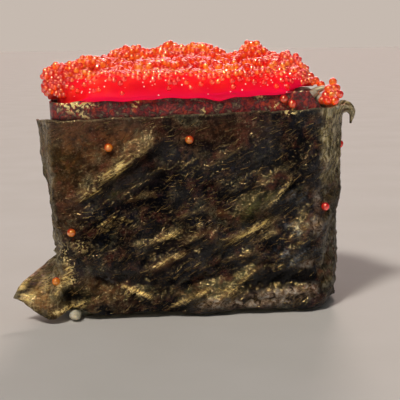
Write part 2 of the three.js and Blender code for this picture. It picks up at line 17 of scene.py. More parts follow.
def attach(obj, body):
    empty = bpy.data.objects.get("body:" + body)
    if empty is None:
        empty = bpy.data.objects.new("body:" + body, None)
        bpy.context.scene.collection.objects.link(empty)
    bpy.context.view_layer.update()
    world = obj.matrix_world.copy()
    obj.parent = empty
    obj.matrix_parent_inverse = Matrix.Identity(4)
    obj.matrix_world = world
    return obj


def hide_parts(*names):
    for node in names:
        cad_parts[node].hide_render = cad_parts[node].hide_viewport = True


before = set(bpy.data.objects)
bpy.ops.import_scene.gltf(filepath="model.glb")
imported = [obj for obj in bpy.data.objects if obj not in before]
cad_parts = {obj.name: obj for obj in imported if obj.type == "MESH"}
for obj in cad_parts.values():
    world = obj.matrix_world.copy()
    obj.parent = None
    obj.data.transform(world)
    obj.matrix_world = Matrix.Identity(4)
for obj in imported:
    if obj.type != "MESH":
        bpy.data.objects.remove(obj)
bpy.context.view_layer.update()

bl_info = {
    "name": "Gunkan Sushi",
    "version": (1, 0, 0),
    "blender": (4, 5, 0),
    "location": "3D View > Sidebar > Gunkan",
    "description": "Builds a gunkan sushi with flying fish roe on its packed frame",
    "category": "Add Mesh",
}

MM = 0.001

# ---- Form: the same named sizes as the part's own source ---------------------------------------------------

# Corners of the wrap's plan at rim height, clockwise from the front right one: x, y, and the rounding.
PLAN_CORNERS = [
    (23.2, -13.5, 3.4),
    (-21.8, -13.9, 2.2),
    (-22.5, -1.0, 5.0),
    (-20.9, 13.1, 6.0),
    (22.4, 13.3, 6.0),
    (29.4, -3.0, 6.0),
]
RIM = 34.0
TAPER_X = 0.065
TAPER_Y = 0.06
TAPER_PIVOT_X = 2.0

SHEET = 0.35
PLY_STEP = SHEET + 0.32
END_OVERLAP = 11.0
START_SLANT = 2.6
TOP_AT_START = 37.8
TOP_AFTER_FRONT = 36.5
TOP_AFTER_TURN = 34.8
TOP_AT_END = 33.3
HEM_HEIGHT = 0.9
HEM_RISE_AT_START = 2.2
HEM_RISE_LENGTH = 14.0
HEM_LIFT_S, HEM_LIFT_SPREAD, HEM_LIFT = 43.0, 2.8, 1.35
EAR_S, EAR_SPREAD, EAR_ROLLED = -8.8, 2.8, 1.9
EAR_BEND, EAR_TURN = 1.2, 2.9
PEEL_TOP = 10.8
FLAP_CREST = 2.4
POCKET_W, POCKET_SPREAD, POCKET_DEPTH = 1.2, 1.1, 1.1
FLAP_TIP_LIFT = 4.2
# How far the sheet's edges fray, and how much of its start lies too deep in the wrap for fibres.
FRAY = 0.09
BARE_START = 20.0

RICE_TOP = 31.0
RICE_RISE = 6.2
RICE_END_DROP = 2.2
RICE_BELOW_HEAP = 1.3
RICE_CLEARANCE = 0.5
FOOT_INSET = 3.2
GRAIN_LENGTH, GRAIN_WIDTH, GRAIN_HEIGHT = 5.2, 2.1, 1.6
# Sideways bend of a grain per square of the distance along it.
GRAIN_BEND = -0.055
BED_GRAINS = 34

EGG_RADIUS = 0.72
ROE_GAP = 0.4
MOUND_X, MOUND_Y = -0.3, -0.6
MOUND_HALF_LENGTH, MOUND_HALF_DEPTH, MOUND_ROUNDNESS = 23.8, 13.6, 3.1
SHOULDER = 2.6
MOUND_TOP = 42.0
MOUND_RISE_TO_BACK = 0.09
MOUND_LEFT_DROP = 1.2
MOUND_RIGHT_DROP = 3.0
TUCK = 0.2
TUCK_LEFT = 1.3
LIP_CLEARANCE = 0.92
BARE_END_UNDERCUT = 3.4
# Grid of the heap's mass: distance round it, and rows from its crown to its lower edge.
ROE_GRID, ROE_ROWS = 0.42, 72

LOOK_AT = (2.3, -13.6, 19.9)
FLOOR_WIDTH = 80000.0

# Lumps on the heap: x, y, spread, height.
LUMPS = [
    (-22.4, -5.0, 1.9, 1.0),
    (-19.2, -6.0, 2.4, 1.0),
    (-14.8, -4.0, 2.8, 1.2),
    (-9.6, 5.8, 3.0, 1.9),
    (-2.4, 7.6, 3.4, 1.6),
    (4.6, 7.6, 3.2, 2.3),
    (12.8, 1.8, 2.8, 3.0),
    (18.6, -2.0, 2.8, 2.1),
    (15.6, 6.0, 2.6, 0.9),
    (1.0, -4.0, 4.2, 0.8),
    (13.6, -7.2, 2.6, 0.7),
    (-6.0, -6.2, 2.8, 0.5),
]
# Smaller lumps and dips that only the eggs follow.
SMALL_LUMPS = [
    (-15.6, -6.0, 1.5, 1.1),
    (-13.6, -5.4, 1.4, -0.5),
    (-12.2, 5.6, 1.8, -0.7),
    (-7.0, 6.2, 1.7, 0.9),
    (-2.6, 8.4, 1.4, -0.4),
    (-1.2, 8.4, 1.4, 1.2),
    (1.2, 8.4, 2.2, 0.7),
    (7.2, 8.0, 1.6, 0.4),
    (10.6, 1.8, 1.6, -1.3),
    (14.6, 2.2, 1.6, 0.2),
    (18.2, 0.6, 2.2, -1.8),
    (18.0, -2.6, 1.4, -0.5),
    (20.6, -3.4, 1.2, -0.6),
]
# Folds on the wrap's front: from x, z to x, z, height (a furrow if negative) and width.
FOLDS = [
    (-17.5, 22.0, -5.6, 30.0, 0.75, 1.5),
    (-19.0, 19.0, -2.0, 27.0, -0.6, 2.0),
    (4.5, 12.8, 15.6, 23.0, 1.0, 1.5),
    (7.5, 10.0, 18.5, 18.5, -0.7, 1.8),
    (-12.0, 10.0, 2.0, 15.0, 0.5, 1.4),
    (2.0, 5.8, 18.0, 10.5, -0.6, 1.8),
    (-15.5, 5.6, 19.0, 5.2, -0.6, 1.3),
    (-14.0, 3.2, 18.5, 2.8, 0.75, 1.3),
    (-20.5, 11.0, -15.5, 5.6, -0.5, 1.3),
    (-22.0, 1.5, -22.0, 6.5, -0.9, 1.3),
]


def mix(a, b, t):
    """From a at t = 0 to b at t = 1."""
    return a + (b - a) * t


def smooth(low, high, x):
    """0 before low, 1 past high, and an even ease between them; low may be the greater one."""
    t = np.clip((np.asarray(x, float) - low) / (high - low), 0, 1)
    return t * t * (3 - 2 * t)


def bump(x, width):
    """1 at x = 0, falling off to both sides."""
    return np.exp(-((np.asarray(x, float) / width) ** 2))


def unit(v):
    """Vectors of length 1 along the last axis."""
    return v / np.maximum(np.linalg.norm(v, axis=-1, keepdims=True), 1e-9)


def perlin(points):
    """Smooth noise from about -1 to 1 at each point."""
    flat = np.asarray(points, float).reshape(-1, 3)
    return np.array([noise.noise(Vector(p)) for p in flat.tolist()]).reshape(np.shape(points)[:-1])


# ---- The wrap's plan and wall ------------------------------------------------------------------------------

PLAN_SAMPLES, CORNER_SAMPLES = 720, 33


def plan_outline():
    """The closed plan as evenly spaced points, from the start of the first corner's rounding."""
    corners = np.array([c[:2] for c in PLAN_CORNERS])
    line = []
    for i, (x, y, ease) in enumerate(PLAN_CORNERS):
        at = np.array((x, y))
        before = corners[i - 1] - at
        after = corners[(i + 1) % len(corners)] - at
        start = at + unit(before) * ease
        end = at + unit(after) * ease
        t = np.linspace(0, 1, CORNER_SAMPLES)[:, None]
        line.append((1 - t) ** 2 * start + 2 * t * (1 - t) * at + t * t * end)
    line = np.concatenate(line)
    closed = np.vstack([line, line[:1]])
    run = np.concatenate([[0], np.cumsum(np.linalg.norm(np.diff(closed, axis=0), axis=1))])
    even = np.arange(PLAN_SAMPLES) / PLAN_SAMPLES * run[-1]
    return np.stack([np.interp(even, run, closed[:, k]) for k in (0, 1)], axis=1), run[-1]


plan_points, plan_length = plan_outline()
FRONT_LEFT_S = PLAN_CORNERS[0][0] - PLAN_CORNERS[1][0] - PLAN_CORNERS[1][2]
STRIP_LENGTH = plan_length + FRONT_LEFT_S + END_OVERLAP


def plan_at(s):
    """Points and outward normals of the plan at distances s from the front right corner."""
    # The outline starts before that corner, by about 0.9 of its rounding.
    turns = (np.asarray(s, float) + PLAN_CORNERS[0][2] * 0.9) / plan_length
    f = (turns - np.floor(turns)) * PLAN_SAMPLES
    i = np.floor(f).astype(int) % PLAN_SAMPLES
    t = (f - np.floor(f))[..., None]
    point = mix(plan_points[i], plan_points[(i + 1) % PLAN_SAMPLES], t)
    along = unit(plan_points[(i + 4) % PLAN_SAMPLES] - plan_points[(i - 3) % PLAN_SAMPLES])
    return point, np.stack([-along[..., 1], along[..., 0]], axis=-1)


def fold_relief(s, z):
    """How far the pressed folds on the front stand out or in."""
    point, normal = plan_at(s)
    folds = 0
    for ax, az, bx, bz, height, width in FOLDS:
        t = ((point[..., 0] - ax) * (bx - ax) + (z - az) * (bz - az)) / ((bx - ax) ** 2 + (bz - az) ** 2)
        t = np.clip(t, 0, 1)
        away = np.hypot(point[..., 0] - mix(ax, bx, t), z - mix(az, bz, t))
        folds = folds + height * bump(away, width)
    return folds * smooth(0.7, 0.95, -normal[..., 1])


def relief(s, z):
    """How far the wrap stands out from its plain tapered form."""
    around = 2 * math.pi * s / plan_length
    calm = 1 - 0.75 * smooth(24, 34, z)
    waves = (
        0.3 * np.sin(8 * around + 0.54 * z + 0.4)
        + 0.2 * np.sin(13 * around + 0.42 * z + 2.1)
        + 0.22 * np.sin(5 * around - 0.3 * z + 4.0)
    )
    return waves * calm + fold_relief(s, z)


def wall_point(s, z, outwards):
    """Points at height z on the plain tapered wrap, moved outwards by a distance."""
    point, normal = plan_at(s)
    z = z + 0 * point[..., 0]
    below = 1 - z / RIM
    x = mix(point[..., 0], TAPER_PIVOT_X, TAPER_X * below)
    y = point[..., 1] * (1 - TAPER_Y * below)
    return np.stack([x + normal[..., 0] * outwards, y + normal[..., 1] * outwards, z], axis=-1)


# ---- Nori --------------------------------------------------------------------------------------------------


def round_wrap(s, z, slant, scale_s, scale_z):
    """A point for noise that closes on itself once round the wrap, with features drawn out along a slant."""
    turn = 2 * math.pi * (s + slant * z) / plan_length
    radius = plan_length / (2 * math.pi) * scale_s
    return np.stack([radius * np.cos(turn), radius * np.sin(turn), z * scale_z], axis=-1)


# Sharp wrinkles on the front: from x, z to x, z, height, width, and strength of the gold highlight painted on
# the crest.
WRINKLES = [
    (-18.4, 20.2, -13.6, 23.6, 0.4, 0.8, 0.25),
    (-13.8, 24.0, -9.0, 26.9, 0.5, 0.7, 0.5),
    (-9.4, 26.4, -3.8, 30.6, 0.4, 0.8, 0.2),
    (-17.0, 21.4, -14.6, 22.2, 0.35, 0.6, 0.9),
    (-15.2, 15.5, -12.6, 17.3, 0.2, 0.35, 0.9),
    (-14.4, 15.0, -11.8, 16.6, 0.2, 0.35, 0.7),
    (-12.6, 17.3, -9.6, 16.7, 0.2, 0.35, 0.6),
    (-10.2, 19.8, -5.0, 21.4, 0.35, 0.7, 0.4),
    (-2.4, 16.8, 3.4, 18.2, 0.35, 0.7, 0.3),
    (6.0, 21.0, 13.4, 22.4, 0.35, 0.8, 0.2),
    (3.0, 25.0, 8.6, 28.2, 0.3, 0.9, 0.25),
    (-5.8, 13.0, -0.7, 14.6, 0.5, 0.7, 0.9),
    (-0.8, 12.6, 3.2, 14.4, 0.4, 0.7, 0.6),
    (-6.9, 8.2, -0.4, 11.0, 0.5, 0.8, 0.55),
    (6.6, 13.2, 10.2, 14.2, 0.5, 0.7, 1.0),
    (10.2, 14.2, 13.6, 16.0, 0.45, 0.7, 0.9),
    (13.8, 18.2, 17.9, 23.4, 0.4, 0.6, 0.75),
    (13.4, 13.0, 16.1, 14.1, 0.35, 0.6, 0.6),
    (6.2, 9.0, 12.4, 10.8, 0.45, 0.8, 0.3),
    (13.4, 9.0, 19.8, 10.9, 0.35, 0.7, 0.0),
    (9.0, 5.2, 12.4, 7.8, 0.45, 0.7, 0.7),
    (-16.0, 8.5, -12.6, 6.2, 0.35, 0.6, 0.0),
    (-11.8, 5.6, -6.8, 3.7, 0.5, 0.7, 0.9),
    (-3.0, 1.9, 3.8, 4.4, 0.4, 0.6, 0.8),
    (5.8, 3.0, 8.8, 4.6, 0.4, 0.7, 0.6),
    (8.0, 3.7, 23.0, 4.1, 0.4, 0.8, 0.0),
    (20.4, 14.4, 25.1, 15.8, 0.5, 0.8, 0.3),
    (-20.6, 13.0, -17.6, 9.6, 0.2, 0.5, 0.2),
]


def wrinkle_sides(s, z):
    """The sharp wrinkles' relief, the gold highlight painted on their crests, and the shade painted on the
    steep side below them.
    """
    point, normal = plan_at(s)
    height, painted_crest_sheen, painted_shade = 0, 0, 0
    for ax, az, bx, bz, rise, width, gold in WRINKLES:
        length = math.hypot(bx - ax, bz - az)
        t = ((point[..., 0] - ax) * (bx - ax) + (z - az) * (bz - az)) / length**2
        across = ((z - az) * (bx - ax) - (point[..., 0] - ax) * (bz - az)) / length
        along = bump(np.maximum(0, np.abs(t - 0.5) - 0.35) * length, 0.12 * length + 0.3)
        side = np.where(across > 0, bump(across, width * 1.4), bump(across, width * 0.5))
        height = height + rise * along * side
        # A painted gold highlight along each crest, and painted shade along the steep side below it.
        painted_crest_sheen = painted_crest_sheen + 1.25 * gold**1.6 * along * bump(across - 0.2 * width, width * 0.32)
        painted_shade = painted_shade + along * bump(across + 1.2 * width, width)
    front = smooth(0.7, 0.95, -normal[..., 1])
    return height * front, np.clip(painted_crest_sheen, 0, 1) * front, np.clip(painted_shade, 0, 1) * front


def crumple(s, z):
    """Small creases of damp nori, the same in both plies so that they nest."""
    s, z = np.broadcast_arrays(np.asarray(s, float), np.asarray(z, float))
    slanted = 1 - 3.2 * np.abs(perlin(round_wrap(s, z, 1.4, 0.5, 0.16)))
    level = 1 - 3.2 * np.abs(perlin(round_wrap(s, z, 0.35, 0.2, 0.62) + 9.1))
    fine = perlin(round_wrap(s, z, 0.9, 1.15, 0.62) + 3.7)
    calm = 1 - 0.8 * smooth(26, 33, z)
    small = (0.15 * slanted + 0.2 * level * smooth(24, 12, z) + 0.32 * fine) * calm
    return small + (wrinkle_sides(s, z)[0] - 0.2) * (1 - smooth(31, 33.5, z))


def top_edge(u):
    """Height of the sheet's upper edge, which comes down along the strip."""
    tops = np.interp(
        u,
        [0, FRONT_LEFT_S, plan_length, STRIP_LENGTH],
        [TOP_AT_START, TOP_AFTER_FRONT, TOP_AFTER_TURN, TOP_AT_END],
    )
    return tops + 0.1 * np.sin(0.55 * u) + 0.07 * np.sin(1.3 * u)


def hem_edge(u):
    """Height of the sheet's lower edge."""
    past = np.maximum(0, u - plan_length - FRONT_LEFT_S)
    return (
        HEM_HEIGHT
        + HEM_RISE_AT_START * np.exp(-u / HEM_RISE_LENGTH)
        + HEM_LIFT * bump(u % plan_length - HEM_LIFT_S, HEM_LIFT_SPREAD)
        + 0.2 * np.sin(0.33 * u + 2)
        - 0.35 * smooth(1, 4, past)
    )


def strip_point(along, z, creases=0):
    """Points of the strip's mid surface: along the strip, and up."""
    z = np.asarray(z, float)
    u = along + START_SLANT * smooth(34.2, 38.4, z) * np.clip(1 - along / 8, 0, 1)
    past = np.maximum(0, u - plan_length - FRONT_LEFT_S)
    waves = relief(u, z) * (1 - 0.5 * smooth(1, 5, past))
    outside = PLY_STEP * smooth(plan_length - 22, plan_length - 4, u) + waves + creases
    point = wall_point(u, z, outside)
    normal = plan_at(u)[1]

    ear = bump(u - plan_length - EAR_S, EAR_SPREAD)
    share = past / END_OVERLAP
    stand_off = mix(0.2, 1.8, smooth(10, 34, z)) * share**1.4
    # The top of the ear rolls outwards and down in an arc.
    flat = np.clip(EAR_ROLLED - top_edge(u) + z, 0, None)
    rolled = flat * (1 + 1.1 * ear)
    bend = 1e-6 + EAR_BEND * ear
    turn = np.minimum(bend * rolled, EAR_TURN)
    outwards = (1 - np.cos(turn)) / bend - 0.2 * ear * smooth(4, 0, top_edge(u) - z)
    point[..., :2] += normal * (outwards + stand_off)[..., None]
    point[..., 2] += (np.sin(turn) - bend * rolled + turn) / bend - flat - 0.1 * ear

    # The free end is peeled off at its foot and folds forward into the flap.
    peel = np.clip(1 - z / PEEL_TOP, 0, 1)
    root = wall_point(plan_length + FRONT_LEFT_S + 0 * u, z, outside)
    crest = FLAP_CREST * np.sin(math.pi * np.minimum(1, 1.12 * share)) + 0.5 * share
    pocket = POCKET_DEPTH * bump(past - POCKET_W, POCKET_SPREAD)
    peeled = np.stack([root[..., 0] - 0.97 * past, root[..., 1] - crest + pocket, z], axis=-1)
    loose = smooth(0, 0.75, peel) * smooth(0, 0.12, share) * mix(0.45, 1, peel)
    point = mix(point, peeled, loose[..., None])
    point[..., 2] += FLAP_TIP_LIFT * smooth(0.35, 1.1, share) * peel * (past > 0)
    return point


def strip_normal(u, z):
    """Outward normals of the strip."""
    d = 0.3
    along = strip_point(u + d, z) - strip_point(u - d, z)
    up = strip_point(u, z + d) - strip_point(u, z - d)
    return unit(np.cross(up, along))


# Tints of the front by kind, some painted light: x, z, half width, half height, slant in degrees, strength.
TINTS = {
    "olive": [
        (-19.8, 27.0, 2.4, 3.4, 20, 0.8),
        (10.8, 18.2, 2.6, 1.5, 40, 1.0),
        (14.2, 20.2, 1.6, 1.0, 30, 0.9),
        (-11.6, 21.2, 1.4, 0.7, 10, 0.7),
        (9.0, 6.0, 3.0, 1.2, 30, 0.5),
        (2.8, 3.6, 3.4, 1.2, 0, 0.6),
        (-17.5, 4.0, 2.4, 2.0, 0, 0.7),
    ],
    "red": [
        (-16.4, 29.6, 7.5, 5.0, 0, 1.0),
        (-19.6, 20.0, 2.2, 6.0, 0, 0.7),
        (-10.0, 30.6, 4.0, 2.0, 20, 0.6),
        (6.0, 31.6, 6.0, 2.0, 0, 0.6),
        (-13.6, 5.0, 4.0, 1.6, -24, 0.8),
        (5.5, 17.9, 1.6, 0.9, -20, 0.7),
        (-3.4, 9.4, 3.4, 0.8, 22, 0.7),
        (1.6, 14.0, 3.6, 0.7, 20, 0.5),
        (-24.4, 2.8, 1.6, 1.6, 0, 0.6),
        (-24.0, 3.4, 1.8, 1.6, 0, 0.8),
    ],
    # Painted reflection: grey-blue patches where the wet sheet would mirror the room.
    "painted_grey_reflection": [
        (19.0, 20.6, 2.8, 1.2, -10, 0.9),
        (20.2, 14.6, 2.6, 1.2, -6, 0.9),
        (17.6, 9.8, 3.4, 1.1, 14, 1.0),
        (-14.2, 7.3, 2.0, 0.45, -34, 1.0),
    ],
    "paper": [
        (4.6, 2.4, 2.6, 0.7, 0, 0.9),
        (12.4, 2.6, 5.0, 0.8, 4, 1.6),
        (19.6, 3.6, 4.6, 0.8, 6, 1.8),
        (22.6, 14.8, 1.6, 1.1, 20, 1.2),
        (23.2, 19.4, 1.2, 1.6, 0, 1.0),
        (20.6, 8.4, 1.4, 0.7, 20, 0.8),
        (24.0, 24.4, 1.0, 4.4, 0, 0.6),
    ],
    # Painted highlight: gold sheen on the crests and the flap.
    "gold": [
        (7.6, 4.2, 1.6, 0.8, 20, 0.6),
        (-26.7, 4.4, 2.6, 0.35, 49, 0.8),
        (-25.6, 3.3, 2.6, 0.4, 49, 0.6),
        (-27.0, 2.6, 1.6, 1.2, 49, 0.7),
        (-23.4, 2.6, 2.6, 1.8, 0, 0.2),
        (-24.0, 5.4, 2.2, 0.8, 30, 0.4),
        (-19.9, 8.9, 0.5, 1.0, 20, 1.0),
        (-20.4, 7.1, 0.8, 0.8, 0, 1.0),
        (-21.6, 5.4, 0.35, 1.1, -24, 1.0),
        (-20.0, 2.2, 2.8, 0.4, 14, 1.0),
        (-16.0, 21.6, 1.6, 0.7, 10, 0.6),
        (-11.6, 25.4, 1.9, 0.6, 33, 1.6),
        (-7.6, 28.2, 2.6, 0.5, 33, 0.2),
        (11.0, 14.5, 3.2, 0.5, 26, 1.6),
    ],
    # Painted shade: hollows, the flap's pocket and the steep sides below folds, painted near black.
    "painted_shade": [
        (-26.2, 3.8, 2.7, 0.24, 49, 1.8),
        (-19.3, 4.1, 2.0, 1.2, -6, 1.8),
        (-23.6, 0.9, 2.4, 0.5, 10, 1.0),
        (-20.4, 11.0, 0.8, 1.6, 0, 0.6),
        (-5.0, 23.6, 5.8, 2.2, 24, 0.7),
        (-11.0, 18.7, 4.4, 0.8, 6, 0.4),
        (-12.0, 13.6, 3.6, 1.7, -10, 0.5),
        (0.4, 20.2, 6.0, 1.6, 14, 0.4),
        (15.6, 25.8, 7.0, 1.5, 3, 0.6),
        (17.8, 17.6, 2.6, 0.8, 36, 0.7),
        (18.6, 12.0, 3.4, 0.8, -4, 0.9),
        (18.4, 6.5, 6.0, 1.3, 3, 1.8),
        (10.4, 5.0, 4.6, 0.7, 2, 1.4),
        (-8.6, 6.9, 7.0, 1.1, -12, 0.8),
        (3.6, 11.4, 4.0, 0.8, 12, 0.7),
        (-4.0, 11.7, 3.0, 0.6, 16, 0.6),
        (2.6, 7.4, 4.2, 0.9, 6, 0.5),
    ],
    # Painted glints: pale beads along the inner ply, the rim and the brightest crests.
    "painted_glint": [
        (-20.6, 2.3, 2.2, 0.35, 10, 0.8),
        (-19.4, 36.1, 3.0, 0.5, 0, 1.0),
        (-16.4, 36.0, 1.6, 0.45, 0, 1.0),
        (-18.4, 35.2, 1.4, 0.4, 0, 0.7),
        (-16.4, 34.3, 1.2, 0.5, -20, 0.9),
        (-7.9, 36.0, 0.9, 0.4, 40, 1.0),
        (3.0, 34.7, 0.4, 0.5, 10, 0.9),
        (15.0, 35.4, 0.9, 0.4, 10, 0.7),
        (12.6, 37.0, 0.8, 0.4, 20, 0.6),
        (17.3, 34.3, 0.8, 0.4, 0, 2.0),
        (-11.6, 25.3, 1.7, 0.42, 33, 1.0),
        (-8.0, 27.8, 2.0, 0.3, 33, 0.4),
        (-14.4, 24.0, 1.2, 0.4, 36, 0.6),
        (-15.4, 22.2, 1.0, 0.5, 10, 0.6),
        (-19.6, 7.0, 0.8, 0.9, 0, 1.0),
        (-19.3, 9.2, 0.35, 0.7, 20, 0.9),
        (-20.6, 11.4, 0.9, 1.8, 0, 0.45),
        (-21.0, 1.8, 1.2, 0.3, 5, 0.6),
        (-17.6, 12.6, 1.2, 1.0, 0, 0.45),
        (-3.4, 14.2, 2.2, 0.3, 18, 0.6),
        (11.0, 14.6, 3.0, 0.4, 26, 1.0),
        (15.8, 20.8, 2.6, 0.25, 52, 1.0),
        (-9.4, 4.8, 2.2, 0.35, -20, 0.6),
        (7.4, 4.2, 1.4, 0.4, 24, 0.6),
    ],
    "dull": [
        (-7.2, 20.3, 9.0, 1.7, 39, 1.3),
        (6.0, 16.4, 1.3, 1.7, 0, 1.3),
    ],
}


def tint(kind, x, z):
    """Strength of one kind of tint at places on the front."""
    total = 0
    for cx, cz, half_x, half_z, slant, strength in TINTS[kind]:
        c, s = math.cos(math.radians(slant)), math.sin(math.radians(slant))
        along = ((x - cx) * c + (z - cz) * s) / half_x
        across = ((z - cz) * c - (x - cx) * s) / half_z
        total = total + strength * bump(np.hypot(along, across), 1)
    return np.clip(total, 0, 1)


# Single eggs stuck to the nori: distance along the strip, height, and how orange they are.
STRAY_EGGS = [
    (plan_length + 22.4, 30.1, 0.8),
    (plan_length + 35.7, 29.0, 0.88),
    (plan_length + 42.8, 15.1, 0.84),
    (plan_length + FRONT_LEFT_S + 3.7, 6.4, 1.0),
    (plan_length - 1.2, 18.0, 0.2),
    (plan_length - 12.0, 27.9, 0.2),
    (6.4, 36.5, 0.45),
    (5.0, 35.7, 0.4),
]
EGG_SUNK = 0.3

# ---- Rice --------------------------------------------------------------------------------------------------

# Grains listed for the bare right end: x, y, how far up, heading, tilt, size.
BARE_END_GRAINS = [
    (23.2, -8.2, 0.7, -0.35, -0.3, 0.72),
    (24.4, -2.4, 0.0, 1.3, 0.1, 0.85),
    (24.6, 1.8, -0.1, 1.9, -0.1, 1.0),
    (22.4, 6.4, -0.2, 2.4, 0.1, 1.0),
]
# The grain under the hem beside the flap: x, y, z, heading, size.
FLAP_GRAIN = (-18.9, -12.6, 0.72, 1.5, 1.04)


def rice_top_at(x):
    """Height of the rice, which rises towards the right end."""
    return RICE_TOP + RICE_RISE * smooth(3, 22, x) - RICE_END_DROP * smooth(22.5, 26, x)


def lowest_relief(s, z):
    """The wrap's relief where it is deepest within a grain's reach, so that the rice stays inside it."""
    spots = [relief(s + ds, z + dz) for ds in (-2.2, 0, 2.2) for dz in (-2.6, 0, 2.6)]
    return np.minimum.reduce(spots)


# ---- Roe ---------------------------------------------------------------------------------------------------


def mound_radius(angle):
    """Half width of the heap's plan in a direction from its middle."""
    along = np.abs(np.cos(angle)) / MOUND_HALF_LENGTH
    across = np.abs(np.sin(angle)) / MOUND_HALF_DEPTH
    return (along**MOUND_ROUNDNESS + across**MOUND_ROUNDNESS) ** (-1 / MOUND_ROUNDNESS)


def lump_height(x, y):
    """How much the lumps and dips add to the heap's height."""
    lumps = LUMPS + SMALL_LUMPS
    return sum(height * bump(np.hypot(x - lx, y - ly), spread) for lx, ly, spread, height in lumps)


def mound_top(x, y):
    """Height of the heap without its rounded shoulder."""
    return (
        MOUND_TOP
        + MOUND_RISE_TO_BACK * np.clip(y + 3, -8, 9)
        - MOUND_LEFT_DROP * smooth(-12, -24, x)
        - MOUND_RIGHT_DROP * smooth(19.5, 24.5, x)
        + lump_height(x, y)
    )


def lip_droop(x):
    """How far the pressed front hangs down over the rim: most in a pointed tongue right of the middle."""
    tongue = np.clip(1 - np.abs(x - 5.6) / 2.4, 0, 1)
    return 0.6 + 0.35 * bump(x - 8, 4.5) + 0.45 * tongue - 0.25 * smooth(12, 20, x)


# The wrap's rim as seen from the heap's middle: directions and distances of places along it.
WALL_SAMPLES = 360
wall_s = np.arange(WALL_SAMPLES) / WALL_SAMPLES * plan_length
wall_line = wall_point(wall_s, TOP_AFTER_TURN, 0)
wall_angle = np.arctan2(wall_line[:, 1] - MOUND_Y, wall_line[:, 0] - MOUND_X)
wall_radius = np.hypot(wall_line[:, 0] - MOUND_X, wall_line[:, 1] - MOUND_Y)


class Skin:
    """The heap's skin in given directions from its middle: where a distance t along it leads."""

    def __init__(self, angle):
        self.angle = np.asarray(angle, float)
        self.radius = mound_radius(self.angle)
        wall = np.interp(self.angle, *self.sorted_wall(wall_radius), period=2 * math.pi)
        rim = np.interp(self.angle, *self.sorted_wall(top_edge(wall_s)), period=2 * math.pi) + ROE_GAP
        # 1 where the heap stands on the wrap's rim, and 0 at the bare end, where it stands on the rice.
        on_rim = smooth(-2.6, -1.2, self.radius - wall)
        rice = rice_top_at(MOUND_X + self.radius * np.cos(self.angle)) + RICE_BELOW_HEAP
        self.ledge = np.maximum(mix(rice, rim, on_rim), rice)
        # 1 along the front, where its lip hangs over the rim.
        over_rim = smooth(0.35, 0.6, -np.sin(self.angle)) * on_rim
        tuck = mix(TUCK, TUCK_LEFT, np.maximum(0, -np.cos(self.angle)) ** 2)
        self.tuck = mix(tuck, self.radius - wall - LIP_CLEARANCE, over_rim)
        self.lip = self.ledge - over_rim * lip_droop(MOUND_X + self.radius * np.cos(self.angle))
        # Two distances of the underside: close behind the lip, and inside the wrap.
        self.behind_lip = mix(self.radius - tuck, wall + 0.45, over_rim)
        undercut = mix(BARE_END_UNDERCUT, self.tuck + 0.4, on_rim)
        self.inner = np.minimum(wall - SHEET / 2 - 1.0, self.radius - undercut)
        # From the middle the skin runs flat, then round the shoulder's arc, then down to the lip.
        x, y = self.plan(self.radius)
        self.rim_top = mound_top(x, y)
        self.drop = self.rim_top - self.lip
        self.corner = np.minimum(SHOULDER, 0.8 * self.drop)
        self.flat = self.radius - self.corner
        self.arc = math.pi / 2 * self.corner
        self.reach = self.flat + self.arc + self.drop - self.corner

    def sorted_wall(self, values):
        """The wall's angles in order, and the values that go with them."""
        order = np.argsort(wall_angle)
        return wall_angle[order], values[order]

    def plan(self, r):
        """Places on plan at a distance from the middle."""
        return MOUND_X + r * np.cos(self.angle), MOUND_Y + r * np.sin(self.angle)

    def at(self, t):
        """Over the top, round the shoulder, then down the side, which draws in."""
        turn = np.clip((t - self.flat) / self.corner, 0, math.pi / 2)
        below = np.maximum(0, t - self.flat - self.arc)
        r = np.minimum(t, self.flat) + self.corner * np.sin(turn)
        r = r - self.tuck * (below / (self.drop - self.corner)) ** 2
        x, y = self.plan(r)
        top = np.where(below > 0, self.rim_top, mound_top(x, y))
        return np.stack([x, y, top - self.corner * (1 - np.cos(turn)) - below], axis=-1)


def skin_point(dx, dy):
    """Places on the heap's skin, by distances from its middle measured along the skin."""
    return Skin(np.arctan2(dy, dx)).at(np.hypot(dx, dy))


def skin_normal(dx, dy):
    """Outward normals of the heap's skin."""
    d = 0.25
    along_x = skin_point(dx + d, dy) - skin_point(dx - d, dy)
    along_y = skin_point(dx, dy + d) - skin_point(dx, dy - d)
    return unit(np.cross(along_x, along_y))


def band(point):
    """The pressed, glassy band of roe low on the heap's front: 1 in it, 0 away from it."""
    x, y, z = point[..., 0], point[..., 1], point[..., 2]
    upper = 41.0 + 0.35 * np.sin(0.5 * x + 1) + 0.25 * np.sin(1.3 * x) - 1.3 * bump(x - 11, 3.5)
    on_front = smooth(-9.0, -12.0, y - 5 * smooth(15, 22, x))
    return on_front * smooth(upper + 1.6, upper - 0.9, z) * smooth(-21.5, -17.5, x) * smooth(21.4, 19.4, x)


# Loose balls of eggs on the bare right end: x, y, z, radius. Trails to them: from, to, number of eggs.
CLUMP_PITCH = 1.14
CLUMPS = [(26.4, -5.8, 36.9, 1.45), (24.8, -9.6, 35.9, 1.15)]
TRAILS = [
    ((21.0, -4.2, 41.2), (24.2, -5.2, 38.5), 5),
    ((20.9, -6.4, 39.8), (22.4, -7.0, 38.9), 3),
    ((24.9, -8.8, 36.3), (26.1, -6.9, 36.9), 3),
]


def clump_places():
    """Eggs of the loose balls at the bare end, packed in layers, and of the trails that join them."""
    places = []
    for x, y, z, radius in CLUMPS:
        for k, j, i in product(range(3), range(-2, 3), range(-2, 3)):
            away = np.array([i + (j + k) / 2, 0.87 * j, 0.84 * k]) * CLUMP_PITCH
            if math.hypot(away[0], away[1]) + 0.45 * away[2] < radius:
                places.append(away + (x, y, z))
    for start, end, count in TRAILS:
        places += [mix(np.array(start), np.array(end), i / (count - 1)) for i in range(count)]
    return np.array(places)


